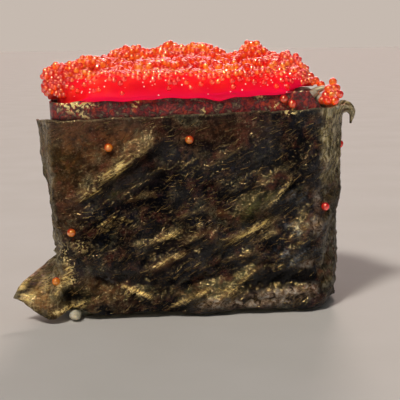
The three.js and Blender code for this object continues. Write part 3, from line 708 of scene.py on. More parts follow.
# ---- Making pieces -----------------------------------------------------------------------------------------


def linear(hex_colour):
    """An sRGB hex colour as linear red, green, blue and an alpha of 1."""
    parts = [int(hex_colour[i : i + 2], 16) / 255 for i in (1, 3, 5)]
    return tuple(c / 12.92 if c <= 0.04045 else ((c + 0.055) / 1.055) ** 2.4 for c in parts) + (1.0,)


def node(tree, kind, sockets=None, stops=None, **settings):
    """Adds a node: its settings, what each input is linked or set to, and a colour ramp's stops.

    An input takes a socket, a node (its first output in use), a hex colour or a plain value. Inputs go by
    name, or by number where names repeat: Map Range has the value, the range it comes from and the range it
    goes to at 0 to 4, and Mix has its share at 0 and its two colours at 6 and 7.
    """
    added = tree.nodes.new(kind)
    for name, value in settings.items():
        setattr(added, name, value)
    for socket, value in (sockets or {}).items():
        if isinstance(value, bpy.types.Node):
            value = next(output for output in value.outputs if output.enabled)
        if isinstance(value, str) and value.startswith("#"):
            value = linear(value)
        if isinstance(value, bpy.types.NodeSocket):
            tree.links.new(value, added.inputs[socket])
        else:
            added.inputs[socket].default_value = value
    if stops:
        elements = added.color_ramp.elements
        while len(elements) < len(stops):
            elements.new(0.5)
        for element, (position, colour) in zip(elements, stops):
            element.position = position
            element.color = linear(colour)
    return added


def new_material(name):
    """An empty material, and the node function for its tree."""
    material = bpy.data.materials.new(name)
    material.use_nodes = True
    material.node_tree.nodes.clear()
    return material, partial(node, material.node_tree)


def new_piece(name, points, faces, material):
    """A smooth mesh object from points in millimetres."""
    mesh = bpy.data.meshes.new(name)
    mesh.from_pydata((np.reshape(points, (-1, 3)) * MM).tolist(), [], [list(f) for f in faces])
    mesh.validate()
    mesh.polygons.foreach_set("use_smooth", [True] * len(mesh.polygons))
    mesh.materials.append(material)
    piece = bpy.data.objects.new(name, mesh)
    bpy.context.scene.collection.objects.link(piece)
    return piece


def give(piece, name, values, kind="FLOAT"):
    """Stores a named value for each vertex."""
    attribute = piece.data.attributes.new(name, kind, "POINT")
    field = "vector" if kind == "FLOAT_VECTOR" else "value"
    attribute.data.foreach_set(field, np.asarray(values, np.float32).ravel())


def grow(name, points, values, tree, inputs, edges=()):
    """Runs a node tree on points that carry values, and keeps the result as a plain mesh object."""
    mesh = bpy.data.meshes.new(name + "_points")
    mesh.from_pydata((np.reshape(points, (-1, 3)) * MM).tolist(), list(edges), [])
    piece = bpy.data.objects.new(name, mesh)
    bpy.context.scene.collection.objects.link(piece)
    for key, value in values.items():
        give(piece, key, value, "FLOAT_VECTOR" if np.ndim(value) == 2 else "FLOAT")
    modifier = piece.modifiers.new("grow", "NODES")
    modifier.node_group = tree
    sockets = {s.name: s.identifier for s in tree.interface.items_tree if s.in_out == "INPUT"}
    for label, value in inputs.items():
        modifier[sockets[label]] = value
    depsgraph = bpy.context.evaluated_depsgraph_get()
    result = bpy.data.meshes.new_from_object(
        piece.evaluated_get(depsgraph), preserve_all_data_layers=True, depsgraph=depsgraph
    )
    piece.modifiers.clear()
    piece.data = result
    result.name = name
    if not result.polygons:
        raise RuntimeError(f"{name} came out empty")
    return piece


def faces_round(levels, count):
    """Faces between closed rings, and fans from the first ring and the last to the two points after them."""
    index = np.arange(levels * count).reshape(levels, count)
    following = np.roll(index, -1, axis=1)
    faces = np.stack([index[:-1], index[1:], following[1:], following[:-1]], axis=-1).reshape(-1, 4).tolist()
    first, last = levels * count, levels * count + 1
    faces += [(index[0, i], following[0, i], first) for i in range(count)]
    faces += [(following[-1, i], index[-1, i], last) for i in range(count)]
    return faces


def finish_piece(piece, replaces=None):
    """Says which body a piece rides on, and the CAD node that it stands in for."""
    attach(piece, "root")
    if replaces:
        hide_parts(replaces)


def new_tree(name, inputs):
    """A geometry tree with named inputs, the node function for it, and what its inputs give."""
    tree = bpy.data.node_groups.new(name, "GeometryNodeTree")
    tree.interface.new_socket("Geometry", in_out="INPUT", socket_type="NodeSocketGeometry")
    for label, kind in inputs.items():
        tree.interface.new_socket(label, in_out="INPUT", socket_type=kind)
    tree.interface.new_socket("Geometry", in_out="OUTPUT", socket_type="NodeSocketGeometry")
    return tree, partial(node, tree), node(tree, "NodeGroupInput").outputs


def end_tree(add, geometry, material):
    """Ends a tree with real geometry in its material."""
    real = add("GeometryNodeRealizeInstances", {"Geometry": geometry})
    dressed = add("GeometryNodeSetMaterial", {"Geometry": real, "Material": material})
    add("NodeGroupOutput", {"Geometry": dressed})


def egg_tree(material):
    """An egg on every point: a ball of the egg's radius, scaled by the point's size and turned at random."""
    tree, add, given = new_tree("EggOnEachPoint", {"Egg radius": "NodeSocketFloat", "Seed": "NodeSocketInt"})
    ball = add("GeometryNodeMeshIcoSphere", {"Radius": given["Egg radius"], "Subdivisions": 2})
    ball = add("GeometryNodeSetShadeSmooth", {"Geometry": ball})
    size = add("GeometryNodeInputNamedAttribute", {"Name": "size"}, data_type="FLOAT")
    any_turn = {0: (0, 0, 0), 1: (2 * math.pi,) * 3, "Seed": given["Seed"]}
    turn = add("FunctionNodeRandomValue", any_turn, data_type="FLOAT_VECTOR")
    placed = add(
        "GeometryNodeInstanceOnPoints",
        {"Points": given["Geometry"], "Instance": ball, "Rotation": turn, "Scale": size},
    )
    end_tree(add, placed, material)
    return tree


def grain_tree(material):
    """A grain of cooked rice on every point: a long ball, slightly bent, turned by the point's own angles."""
    inputs = {"Grain size": "NodeSocketVector", "Bend": "NodeSocketFloat"}
    tree, add, given = new_tree("GrainOnEachPoint", inputs)
    ball = add("GeometryNodeMeshIcoSphere", {"Radius": 0.5, "Subdivisions": 2})
    sized = add("GeometryNodeTransform", {"Geometry": ball, "Scale": given["Grain size"]})
    along = add("ShaderNodeSeparateXYZ", {0: add("GeometryNodeInputPosition")}).outputs["X"]
    square = add("ShaderNodeMath", {0: along, 1: along}, operation="MULTIPLY")
    bend = add("ShaderNodeMath", {0: square, 1: given["Bend"]}, operation="MULTIPLY")
    shift = add("ShaderNodeCombineXYZ", {"Y": bend})
    bent = add("GeometryNodeSetPosition", {"Geometry": sized, "Offset": shift})
    bent = add("GeometryNodeSetShadeSmooth", {"Geometry": bent})
    turn = add("GeometryNodeInputNamedAttribute", {"Name": "turn"}, data_type="FLOAT_VECTOR")
    size = add("GeometryNodeInputNamedAttribute", {"Name": "size"}, data_type="FLOAT")
    placed = add(
        "GeometryNodeInstanceOnPoints",
        {"Points": given["Geometry"], "Instance": bent, "Rotation": turn, "Scale": size},
    )
    end_tree(add, placed, material)
    return tree


def fibre_tree(material):
    """A three-sided thread along every line of edges, as thick as its points say."""
    tree, add, given = new_tree("ThreadAlongEachLine", {"Fibre radius": "NodeSocketFloat"})
    line = add("GeometryNodeMeshToCurve", {"Mesh": given["Geometry"]})
    thick = add("GeometryNodeInputNamedAttribute", {"Name": "thick"}, data_type="FLOAT")
    line = add("GeometryNodeSetCurveRadius", {"Curve": line, "Radius": thick})
    profile = add("GeometryNodeCurvePrimitiveCircle", {"Resolution": 3, "Radius": given["Fibre radius"]})
    tube = add("GeometryNodeCurveToMesh", {"Curve": line, "Profile Curve": profile, "Fill Caps": True})
    end_tree(add, add("GeometryNodeSetShadeSmooth", {"Geometry": tube}), material)
    return tree


# ---- Materials ---------------------------------------------------------------------------------------------


def damp_toasted_nori(painted_sheen_colour):
    """Toasted, pressed laver, softened by the damp rice.

    Nearly black brown with a web of short gold-brown fibres, olive where the sheet is thin, and a patchy wet
    shine on its creases. Painted on it are light through the thin sheet, a red glow where red roe is behind
    it, and gold highlights, glints, reflections and shade on its creases.
    """
    material, add = new_material("damp_toasted_nori")
    uv = add("ShaderNodeUVMap", uv_map="along_and_up")
    solid = add("ShaderNodeTexCoord").outputs["Object"]
    painted = {
        name: add("ShaderNodeAttribute", attribute_name=name).outputs["Fac"]
        for name in ("ridge", "cool", "painted_roe_glow", "thin_backlit", "edge", *TINTS)
    }

    # Pulp: clots of about 1.5 mm with specks down to 0.1 mm, and areas of 6 mm that are thicker or thinner.
    clots = add("ShaderNodeTexNoise", {"Vector": solid, "Scale": 700.0, "Detail": 7.0, "Roughness": 0.7})
    areas = add("ShaderNodeTexNoise", {"Vector": solid, "Scale": 160.0, "Detail": 2.0})
    shade = add("ShaderNodeMapRange", {0: areas, 1: 0.35, 2: 0.65, 3: -0.05, 4: 0.05})
    pulp = add("ShaderNodeMath", {0: clots, 1: shade}, operation="ADD")
    # Painted light: the crests of the small creases are painted lighter, and the broad folds a little darker.
    pulp = add("ShaderNodeMath", {0: painted["ridge"], 1: 0.05, 2: pulp}, operation="MULTIPLY_ADD")
    base = add(
        "ShaderNodeValToRGB",
        {"Fac": pulp},
        stops=[(0.42, "#06080f"), (0.54, "#0c101c"), (0.64, "#1e202c"), (0.76, "#3e3c40")],
    )
    warm = add(
        "ShaderNodeValToRGB",
        {"Fac": pulp},
        stops=[(0.42, "#08070b"), (0.54, "#161012"), (0.62, "#36221c"), (0.73, "#6e4838")],
    )
    # Areas of 4 mm are browned, and towards the right end it is more grey than brown.
    browned = add("ShaderNodeTexNoise", {"Vector": solid, "Scale": 260.0, "Detail": 3.0, "Roughness": 0.6})
    browned = add("ShaderNodeMapRange", {0: browned, 1: 0.44, 2: 0.62, 3: 0.0, 4: 0.9})
    less_brown = {0: painted["cool"], 1: -0.75, 2: browned}
    browned = add("ShaderNodeMath", less_brown, operation="MULTIPLY_ADD", use_clamp=True)
    base = add("ShaderNodeMix", {0: browned, 6: base, 7: warm}, data_type="RGBA")

    # Places where the sheet is thin, tinted, or painted as lit through or lit red by the roe.
    patch = add("ShaderNodeMapRange", {0: pulp, 1: 0.42, 2: 0.57, 3: 0.25, 4: 1.0})
    # Where it is one clear film, blotches and streaks of 0.5 mm run up it, painted light as if lit from
    # behind.
    upright = add("ShaderNodeMapping", {"Vector": uv, "Scale": (0.7, 2.6, 1)}, vector_type="TEXTURE")
    streaks = add(
        "ShaderNodeTexNoise",
        {"Vector": upright, "Scale": 1.0, "Detail": 5.0, "Roughness": 0.6, "Distortion": 0.8},
        noise_dimensions="2D",
    )
    backlit_film = add(
        "ShaderNodeValToRGB", {"Fac": streaks}, stops=[(0.38, "#665838"), (0.48, "#ccb878"), (0.6, "#fff0c4")]
    )
    # Pressed flat at the hem it is as patchy as crumpled paper.
    mottled = add(
        "ShaderNodeTexNoise",
        {"Vector": solid, "Scale": 860.0, "Detail": 5.0, "Roughness": 0.7, "Distortion": 0.6},
    )
    paper = add(
        "ShaderNodeValToRGB",
        {"Fac": mottled},
        stops=[(0.4, "#30241c"), (0.47, "#a08064"), (0.52, "#e0c0a0"), (0.58, "#fff0dc")],
    )
    # Painted reflection: a grey-blue glaze, as of the room mirrored in the wet sheet.
    stops = [(0.44, "#14171b"), (0.54, "#5a626a"), (0.62, "#c4ccd0")]
    painted_reflection = add("ShaderNodeValToRGB", {"Fac": clots}, stops)
    for name, colour, share in (
        ("thin_backlit", backlit_film, 1.0),
        ("olive", "#5c5c22", 0.8),
        ("red", "#8c5830", 0.85),
        ("painted_grey_reflection", painted_reflection, 0.8),
        ("paper", paper, 1.0),
        ("gold", painted_sheen_colour, 0.38),
        ("edge", "#a89878", 0.55),
    ):
        through = 1.0 if name == "paper" else patch
        amount = add("ShaderNodeMath", {0: painted[name], 1: through}, operation="MULTIPLY")
        amount = add("ShaderNodeMath", {0: amount, 1: share}, operation="MULTIPLY")
        base = add("ShaderNodeMix", {0: amount, 6: base, 7: colour}, data_type="RGBA")

    # Fibres 0.15 mm wide and a few millimetres long, drawn coarser than real ones so that they show.
    web = None
    for angle, length, gap, width in (
        (-30, 2.6, 0.62, 0.1),
        (-12, 2.2, 0.5, 0.08),
        (-58, 1.8, 0.55, 0.08),
        (18, 1.6, 0.6, 0.07),
    ):
        turned = add(
            "ShaderNodeMapping",
            {"Vector": uv, "Rotation": (0, 0, math.radians(angle)), "Scale": (length, gap, 1)},
            vector_type="TEXTURE",
        )
        field = add(
            "ShaderNodeTexNoise",
            {"Vector": turned, "Scale": 1.0, "Detail": 1.0, "Distortion": 0.5},
            noise_dimensions="2D",
        )
        off = add("ShaderNodeMath", {0: field, 1: 0.5}, operation="SUBTRACT")
        off = add("ShaderNodeMath", {0: off}, operation="ABSOLUTE")
        line = add("ShaderNodeMapRange", {0: off, 1: 0.0, 2: width, 3: 1.0, 4: 0.0})
        web = add("ShaderNodeMath", {0: web, 1: line}, operation="MAXIMUM") if web else line
    # They show in places of 1 to 3 mm, most of all where highlight is painted on the crests, and hardly where
    # shade is painted.
    showing = add("ShaderNodeTexNoise", {"Vector": solid, "Scale": 520.0, "Detail": 4.0, "Roughness": 0.6})
    showing = add("ShaderNodeMapRange", {0: showing, 1: 0.46, 2: 0.65, 3: 0.0, 4: 0.52})
    for name, share in (("ridge", 0.12), ("gold", 0.4), ("painted_shade", -0.4)):
        more = {0: painted[name], 1: share, 2: showing}
        showing = add("ShaderNodeMath", more, operation="MULTIPLY_ADD", use_clamp=name == "painted_shade")
    fibre = add("ShaderNodeMath", {0: web, 1: showing}, operation="MULTIPLY")
    hue = add("ShaderNodeTexNoise", {"Vector": solid, "Scale": 330.0, "Detail": 1.0})
    stops = [(0.38, "#9a5644"), (0.5, "#a07a58"), (0.62, "#8e8868")]
    straw = add("ShaderNodeValToRGB", {"Fac": hue}, stops)
    # Fibres where the gold highlight is painted are painted pale gold.
    straw = add("ShaderNodeMix", {0: painted["gold"], 6: straw, 7: "#ffe29a"}, data_type="RGBA")

    # Painted highlight: pale gold lines 0.3 mm wide along the crests, where wet lines would glint.
    combed = add(
        "ShaderNodeMapping",
        {"Vector": uv, "Rotation": (0, 0, math.radians(-32)), "Scale": (2.2, 0.34, 1)},
        vector_type="TEXTURE",
    )
    highlight_lines = add(
        "ShaderNodeTexNoise",
        {"Vector": combed, "Scale": 1.0, "Detail": 2.0, "Distortion": 0.3},
        noise_dimensions="2D",
    )
    highlight_lines = add("ShaderNodeMath", {0: painted["gold"], 1: 0.12, 2: highlight_lines}, operation="MULTIPLY_ADD")
    highlight_lines = add("ShaderNodeMapRange", {0: highlight_lines, 1: 0.6, 2: 0.63, 3: 0.0, 4: 1.0})
    thick = add("ShaderNodeMath", {0: 1.0, 1: painted["thin_backlit"]}, operation="SUBTRACT")
    crested = add("ShaderNodeMath", {0: painted["gold"], 1: thick}, operation="MULTIPLY")
    highlight_lines = add("ShaderNodeMath", {0: highlight_lines, 1: crested}, operation="MULTIPLY")
    # Painted glints: pale flecks 0.2 mm wide, most where fibres show.
    fleck_glints = add("ShaderNodeTexNoise", {"Vector": solid, "Scale": 2700.0, "Detail": 2.0})
    fleck_glints = add("ShaderNodeMapRange", {0: fleck_glints, 1: 0.6, 2: 0.68, 3: 0.0, 4: 1.0})
    painted_flecks = add("ShaderNodeMath", {0: showing, 1: 0.6, 2: 0.1}, operation="MULTIPLY_ADD")
    painted_flecks = add("ShaderNodeMath", {0: painted_flecks, 1: fleck_glints}, operation="MULTIPLY")
    # Painted red glow of the roe on the inner ply below it.
    veil = add("ShaderNodeMath", {0: patch, 1: 0.5, 2: 0.5}, operation="MULTIPLY_ADD")
    roe_glow_share = add("ShaderNodeMath", {0: painted["painted_roe_glow"], 1: veil}, operation="MULTIPLY")
    roe_glow_colour = add(
        "ShaderNodeValToRGB",
        {"Fac": mottled},
        stops=[(0.36, "#e05c40"), (0.46, "#b04448"), (0.53, "#6c3a42"), (0.59, "#7c6658"), (0.68, "#d0b48c")],
    )
    # Painted shade: the hollows and the steep sides below the wrinkles are painted near black.
    painted_hollow_shade = add("ShaderNodeMath", {0: painted["painted_shade"], 1: 0.9}, operation="MULTIPLY")
    # Painted glints: pale beads of 0.3 mm along the inner ply and on the brightest crests.
    specks = add("ShaderNodeTexNoise", {"Vector": solid, "Scale": 2100.0, "Detail": 2.0})
    painted_beads = add("ShaderNodeMath", {0: painted["painted_glint"], 1: 0.1, 2: specks}, operation="MULTIPLY_ADD")
    painted_beads = add("ShaderNodeMapRange", {0: painted_beads, 1: 0.56, 2: 0.6, 3: 0.0, 4: 1.0})
    painted_beads = add("ShaderNodeMath", {0: painted_beads, 1: painted["painted_glint"]}, operation="MULTIPLY")
    colour = base
    for share, over in (
        (fibre, straw),
        (highlight_lines, "#ffe9a0"),
        (painted_flecks, "#c8ac88"),
        (roe_glow_share, roe_glow_colour),
        (painted_hollow_shade, "#08080c"),
        (painted_beads, "#ffefb4"),
    ):
        colour = add("ShaderNodeMix", {0: share, 6: colour, 7: over}, data_type="RGBA")
    # Painted glow: the highlight lines and glint beads also glow, brighter than the lamps light the pulp.
    painted_glint_glow = add("ShaderNodeMath", {0: highlight_lines, 1: painted_beads}, operation="MAXIMUM")
    painted_glint_glow = add("ShaderNodeMix", {0: painted_glint_glow, 6: "#000000", 7: "#ffcc66"}, data_type="RGBA")

    # Shine: wet patches smooth, pulp rough, and a skin as uneven as the pulp.
    rough = add("ShaderNodeMapRange", {0: clots, 1: 0.35, 2: 0.7, 3: 0.24, 4: 0.5})
    wet = add("ShaderNodeMapRange", {0: areas, 1: 0.42, 2: 0.62, 3: 0.15, 4: 0.7})
    for name, share in (("ridge", 0.3), ("gold", 0.8), ("dull", -0.9)):
        more = {0: painted[name], 1: share, 2: wet}
        wet = add("ShaderNodeMath", more, operation="MULTIPLY_ADD", use_clamp=name != "ridge")
    height = add("ShaderNodeMath", {0: specks, 1: 0.5, 2: pulp}, operation="MULTIPLY_ADD")
    height = add("ShaderNodeMath", {0: fibre, 1: 0.3, 2: height}, operation="MULTIPLY_ADD")
    lumpy = add("ShaderNodeBump", {"Strength": 1.0, "Distance": 0.0011, "Height": height})
    # The water film over it follows only its larger lumps.
    film_lumps = add("ShaderNodeBump", {"Strength": 1.0, "Distance": 0.0003, "Height": specks})
    shader = add(
        "ShaderNodeBsdfPrincipled",
        {
            "Base Color": colour,
            "Roughness": rough,
            "Normal": lumpy,
            "IOR": 1.5,
            "Specular IOR Level": 0.02,
            "Coat Weight": wet,
            "Coat IOR": 1.5,
            "Coat Roughness": 0.08,
            "Coat Normal": film_lumps,
            "Emission Color": painted_glint_glow,
            "Emission Strength": 0.3,
        },
    )
    add("ShaderNodeOutputMaterial", {"Surface": shader})
    return material


def nori_fibre():
    """Single laver fibres that lie on the sheet: thin, tan to straw gold, with a wet glint along each."""
    material, add = new_material("nori_fibre")
    tone = add("ShaderNodeAttribute", attribute_name="tone").outputs["Fac"]
    colour = add(
        "ShaderNodeValToRGB",
        {"Fac": tone},
        stops=[(0.0, "#241a12"), (0.35, "#4a3822"), (0.7, "#8a6e40"), (1.0, "#e8cc84")],
    )
    # Lighter and darker lengths of 0.3 mm.
    solid = add("ShaderNodeTexCoord").outputs["Object"]
    grain = add("ShaderNodeTexNoise", {"Vector": solid, "Scale": 2200.0})
    value = add("ShaderNodeMapRange", {0: grain, 1: 0.3, 2: 0.7, 3: 0.6, 4: 1.3})
    shifted = add("ShaderNodeHueSaturation", {"Color": colour, "Value": value})
    shader = add(
        "ShaderNodeBsdfPrincipled",
        {"Base Color": shifted, "Roughness": 0.25, "IOR": 1.5, "Specular IOR Level": 0.3},
    )
    add("ShaderNodeOutputMaterial", {"Surface": shader})
    return material


def cooked_rice(shaded_rice_colour):
    """Cooked, vinegared short-grain rice: moist, a little see-through, warm white with chalky hearts."""
    material, add = new_material("cooked_rice")
    solid = add("ShaderNodeTexCoord").outputs["Object"]
    # Chalky streaks of about 1 mm.
    streaks = add("ShaderNodeTexNoise", {"Vector": solid, "Scale": 900.0, "Detail": 3.0})
    stops = [(0.3, "#b4ae98"), (0.5, "#ccc6b0"), (0.7, "#e6e0ca")]
    colour = add("ShaderNodeValToRGB", {"Fac": streaks}, stops)
    # Painted shade: from 20 to 30 mm up, beside the roe, the grains are painted greyer.
    up = add("ShaderNodeSeparateXYZ", {0: solid}).outputs["Z"]
    wet = add("ShaderNodeMapRange", {0: up, 1: 0.02, 2: 0.03, 3: 0.0, 4: 0.6})
    colour = add("ShaderNodeMix", {0: wet, 6: colour, 7: shaded_rice_colour}, data_type="RGBA")
    rough = add("ShaderNodeMapRange", {0: streaks, 1: 0.3, 2: 0.7, 3: 0.25, 4: 0.45})
    lumpy = add("ShaderNodeBump", {"Strength": 0.4, "Distance": 0.0001, "Height": streaks})
    shader = add(
        "ShaderNodeBsdfPrincipled",
        {
            "Base Color": colour,
            "Roughness": rough,
            "Normal": lumpy,
            "IOR": 1.45,
            "Subsurface Weight": 0.4,
            "Subsurface Radius": (1.0, 0.8, 0.5),
            "Subsurface Scale": 0.001,
        },
    )
    add("ShaderNodeOutputMaterial", {"Surface": shader})
    return material


def roe_jelly(foot_colour):
    """The moist mass of eggs under the single ones: glassy and deep red, with a painted glow that is
    brightest low on the front.
    """
    material, add = new_material("roe_jelly")
    solid = add("ShaderNodeTexCoord").outputs["Object"]
    pressed = add("ShaderNodeAttribute", attribute_name="pressed").outputs["Fac"]
    low = add("ShaderNodeAttribute", attribute_name="low").outputs["Fac"]
    # Blurred eggs of 1.4 mm deep in the jelly.
    deep = add("ShaderNodeTexNoise", {"Vector": solid, "Scale": 520.0, "Detail": 2.0})
    stops = [(0.35, "#8c0c0a"), (0.55, "#b81c10"), (0.75, "#d8401c")]
    loose = add("ShaderNodeValToRGB", {"Fac": deep}, stops)
    stops = [(0.3, "#e01022"), (0.55, "#f01822"), (0.75, "#fa3024")]
    front = add("ShaderNodeValToRGB", {"Fac": deep}, stops)
    front = add("ShaderNodeMix", {0: low, 6: front, 7: foot_colour}, data_type="RGBA")
    lumpy = add("ShaderNodeBump", {"Strength": 0.25, "Distance": 0.0002, "Height": deep})
    # Painted glints: pale points of 0.25 mm that also glow, many at the band's top and few at its foot.
    cells = add("ShaderNodeTexVoronoi", {"Vector": solid, "Scale": 1600.0}, feature="F1")
    points = add("ShaderNodeMapRange", {0: cells.outputs["Distance"], 1: 0.16, 2: 0.24, 3: 1.0, 4: 0.0})
    up = add("ShaderNodeSeparateXYZ", {0: solid}).outputs["Z"]
    chance = add("ShaderNodeMapRange", {0: up, 1: 0.0372, 2: 0.0408, 3: 0.02, 4: 0.95})
    picked = add("ShaderNodeSeparateColor", {0: cells.outputs["Color"]})
    picked = add("ShaderNodeMath", {0: picked, 1: chance}, operation="LESS_THAN")
    for share in (picked, pressed):
        points = add("ShaderNodeMath", {0: points, 1: share}, operation="MULTIPLY")
    # Painted glow: the thin pressed band glows as if lit through, the gaps between loose eggs hardly at all.
    both = []
    for gaps in (loose, "#6a0a08"):
        under = add("ShaderNodeMix", {0: pressed, 6: gaps, 7: front}, data_type="RGBA")
        both.append(add("ShaderNodeMix", {0: points, 6: under, 7: "#ffd4c4"}, data_type="RGBA"))
    colour, glow = both
    shader = add(
        "ShaderNodeBsdfPrincipled",
        {
            "Base Color": colour,
            "Roughness": 0.5,
            "Normal": lumpy,
            "IOR": 1.37,
            "Specular IOR Level": 0.03,
            "Subsurface Weight": 0.5,
            "Subsurface Radius": (1.0, 0.15, 0.1),
            "Subsurface Scale": 0.002,
            "Emission Color": glow,
            "Emission Strength": 0.34,
        },
    )
    add("ShaderNodeOutputMaterial", {"Surface": shader})
    return material


def flying_fish_egg(painted_rim_sheen):
    """One salted, dyed flying fish egg: a firm clear skin over orange-red yolk, wet, with a hard glint.

    Painted light: the lower half of each egg is painted more orange, as if the clear yolk gathered the light
    from above.
    """
    material, add = new_material("flying_fish_egg")
    tone = add("ShaderNodeAttribute", attribute_name="tone").outputs["Fac"]
    place = add("ShaderNodeTexCoord").outputs
    # Yolk clouds of half an egg.
    cloud = add("ShaderNodeTexNoise", {"Vector": place["Object"], "Scale": 1100.0, "Detail": 1.0})
    cloud = add("ShaderNodeMapRange", {0: cloud, 1: 0.3, 2: 0.7, 3: -0.16, 4: 0.16})
    mixed = add("ShaderNodeMath", {0: tone, 1: cloud}, operation="ADD")
    # Painted light: the lower side of each egg is painted more orange.
    upwards = add("ShaderNodeSeparateXYZ", {0: place["Normal"]}).outputs["Z"]
    mixed = add("ShaderNodeMath", {0: upwards, 1: -0.26, 2: mixed}, operation="MULTIPLY_ADD")
    # Painted light through the yolk: the middle is painted the most orange and the side red.
    facing = add("ShaderNodeLayerWeight", {"Blend": 0.4}).outputs["Facing"]
    side = add("ShaderNodeMapRange", {0: facing, 1: 0.05, 2: 0.6, 3: 0.14, 4: -0.2})
    mixed = add("ShaderNodeMath", {0: mixed, 1: side}, operation="ADD")
    yolk = add(
        "ShaderNodeValToRGB",
        {"Fac": mixed},
        stops=[(0.0, "#e40c18"), (0.3, "#ea2410"), (0.55, "#f44a12"), (0.8, "#fc7a14"), (1.0, "#ff9c20")],
    )
    # Painted sheen: the egg's very rim is painted pale.
    rim = add("ShaderNodeMapRange", {0: facing, 1: 0.6, 2: 0.98, 3: 0.0, 4: 0.36})
    skin = add("ShaderNodeMix", {0: rim, 6: yolk, 7: painted_rim_sheen}, data_type="RGBA")
    shader = add(
        "ShaderNodeBsdfPrincipled",
        {
            "Base Color": skin,
            "Roughness": 0.2,
            "IOR": 1.4,
            "Transmission Weight": 0.45,
            "Subsurface Weight": 0.5,
            "Subsurface Radius": (1.0, 0.3, 0.12),
            "Subsurface Scale": 0.0006,
            "Specular IOR Level": 0.9,
            "Coat Weight": 1.0,
            "Coat IOR": 2.1,
            "Coat Roughness": 0.03,
            "Sheen Weight": 0.06,
            "Sheen Roughness": 0.25,
            "Sheen Tint": "#ffc0b0",
            # A painted glow in the yolk's colour.
            "Emission Color": yolk,
            "Emission Strength": 0.13,
        },
    )
    add("ShaderNodeOutputMaterial", {"Surface": shader})
    return material


# ---- Settings ----------------------------------------------------------------------------------------------

LENGTH = {"unit": "LENGTH", "subtype": "DISTANCE"}
COLOUR = {"size": 4, "min": 0, "max": 1, "subtype": "COLOR"}


class GunkanNoriSettings(bpy.types.PropertyGroup):
    """Sizes and a colour of the wrap."""

    grid: FloatProperty(
        name="Grid",
        description="Distance between the sheet's grid lines",
        default=0.38 * MM,
        min=0.3 * MM,
        max=3 * MM,
        **LENGTH,
    )
    crease: FloatProperty(
        name="Crease depth",
        description="Share of the full depth of the small creases",
        default=1.0,
        min=0,
        max=1.2,
        subtype="FACTOR",
    )
    fibres: IntProperty(
        name="Fibres",
        description="Fibres that lie on the sheet",
        default=9900,
        min=1,
        max=9900,
    )
    fibre_radius: FloatProperty(
        name="Fibre radius",
        description="Half the thickness of a fibre",
        default=0.034 * MM,
        min=0.02 * MM,
        max=0.1 * MM,
        **LENGTH,
    )
    # Colour of the gold highlight painted on the crests.
    painted_sheen_colour: FloatVectorProperty(
        name="Gold",
        description="Colour of the crests that shine like gold",
        default=linear("#e8a030"),
        **COLOUR,
    )


class GunkanRiceSettings(bpy.types.PropertyGroup):
    """Sizes and a colour of the rice."""

    grain_size: FloatVectorProperty(
        name="Grain",
        description="Length, width and height of a cooked grain",
        default=(GRAIN_LENGTH * MM, GRAIN_WIDTH * MM, GRAIN_HEIGHT * MM),
        unit="LENGTH",
        subtype="XYZ",
    )
    foot_pitch: FloatProperty(
        name="Foot pitch",
        description="Distance between the grains that show round the foot",
        default=3.4 * MM,
        min=2 * MM,
        max=12 * MM,
        **LENGTH,
    )
    # Colour of the shade painted on the grains beside the roe.
    shaded_rice_colour: FloatVectorProperty(
        name="Wet rice",
        description="Colour of the grains that are wet through beside the roe",
        default=linear("#8c8878"),
        **COLOUR,
    )


class GunkanRoeSettings(bpy.types.PropertyGroup):
    """Sizes and colours of the roe."""

    egg_radius: FloatProperty(
        name="Egg radius",
        description="Half the width of one egg",
        default=EGG_RADIUS * MM,
        min=0.5 * MM,
        max=1.0 * MM,
        **LENGTH,
    )
    spacing: FloatProperty(
        name="Spacing",
        description="Least distance between the middles of two eggs",
        default=0.82 * MM,
        min=0.8 * MM,
        max=2.5 * MM,
        **LENGTH,
    )
    seed: IntProperty(name="Seed", description="Picks one scatter of the eggs", default=11, min=0)
    foot_colour: FloatVectorProperty(
        name="Band foot",
        description="Colour of the pressed band along its foot",
        default=linear("#f00c3c"),
        **COLOUR,
    )
    # Colour of the pale sheen painted at an egg's rim.
    painted_rim_sheen: FloatVectorProperty(
        name="Egg rim",
        description="Colour of an egg's clear skin at its rim",
        default=linear("#ffb48c"),
        **COLOUR,
    )


class GunkanStageSettings(bpy.types.PropertyGroup):
    """The camera's place and the backdrop."""

    distance: FloatProperty(
        name="Distance",
        description="From the camera to the middle of the picture",
        default=0.18,
        min=0.1,
        max=1,
        **LENGTH,
    )
    azimuth: FloatProperty(
        name="Azimuth",
        description="Turn of the camera round the sushi",
        default=math.radians(-5),
        subtype="ANGLE",
    )
    elevation: FloatProperty(
        name="Elevation",
        description="Height of the camera as an angle",
        default=math.radians(8),
        subtype="ANGLE",
    )
    roll: FloatProperty(
        name="Roll",
        description="Tilt of the picture",
        default=math.radians(0.7),
        subtype="ANGLE",
    )
    lens: FloatProperty(
        name="Lens",
        description="Focal length in millimetres",
        default=97.2,
        min=20,
        max=200,
    )
    backdrop_colour: FloatVectorProperty(
        name="Backdrop",
        description="Colour of the room where the camera sees it",
        default=linear("#c6bab0"),
        **COLOUR,
    )


# ---- Operators ---------------------------------------------------------------------------------------------


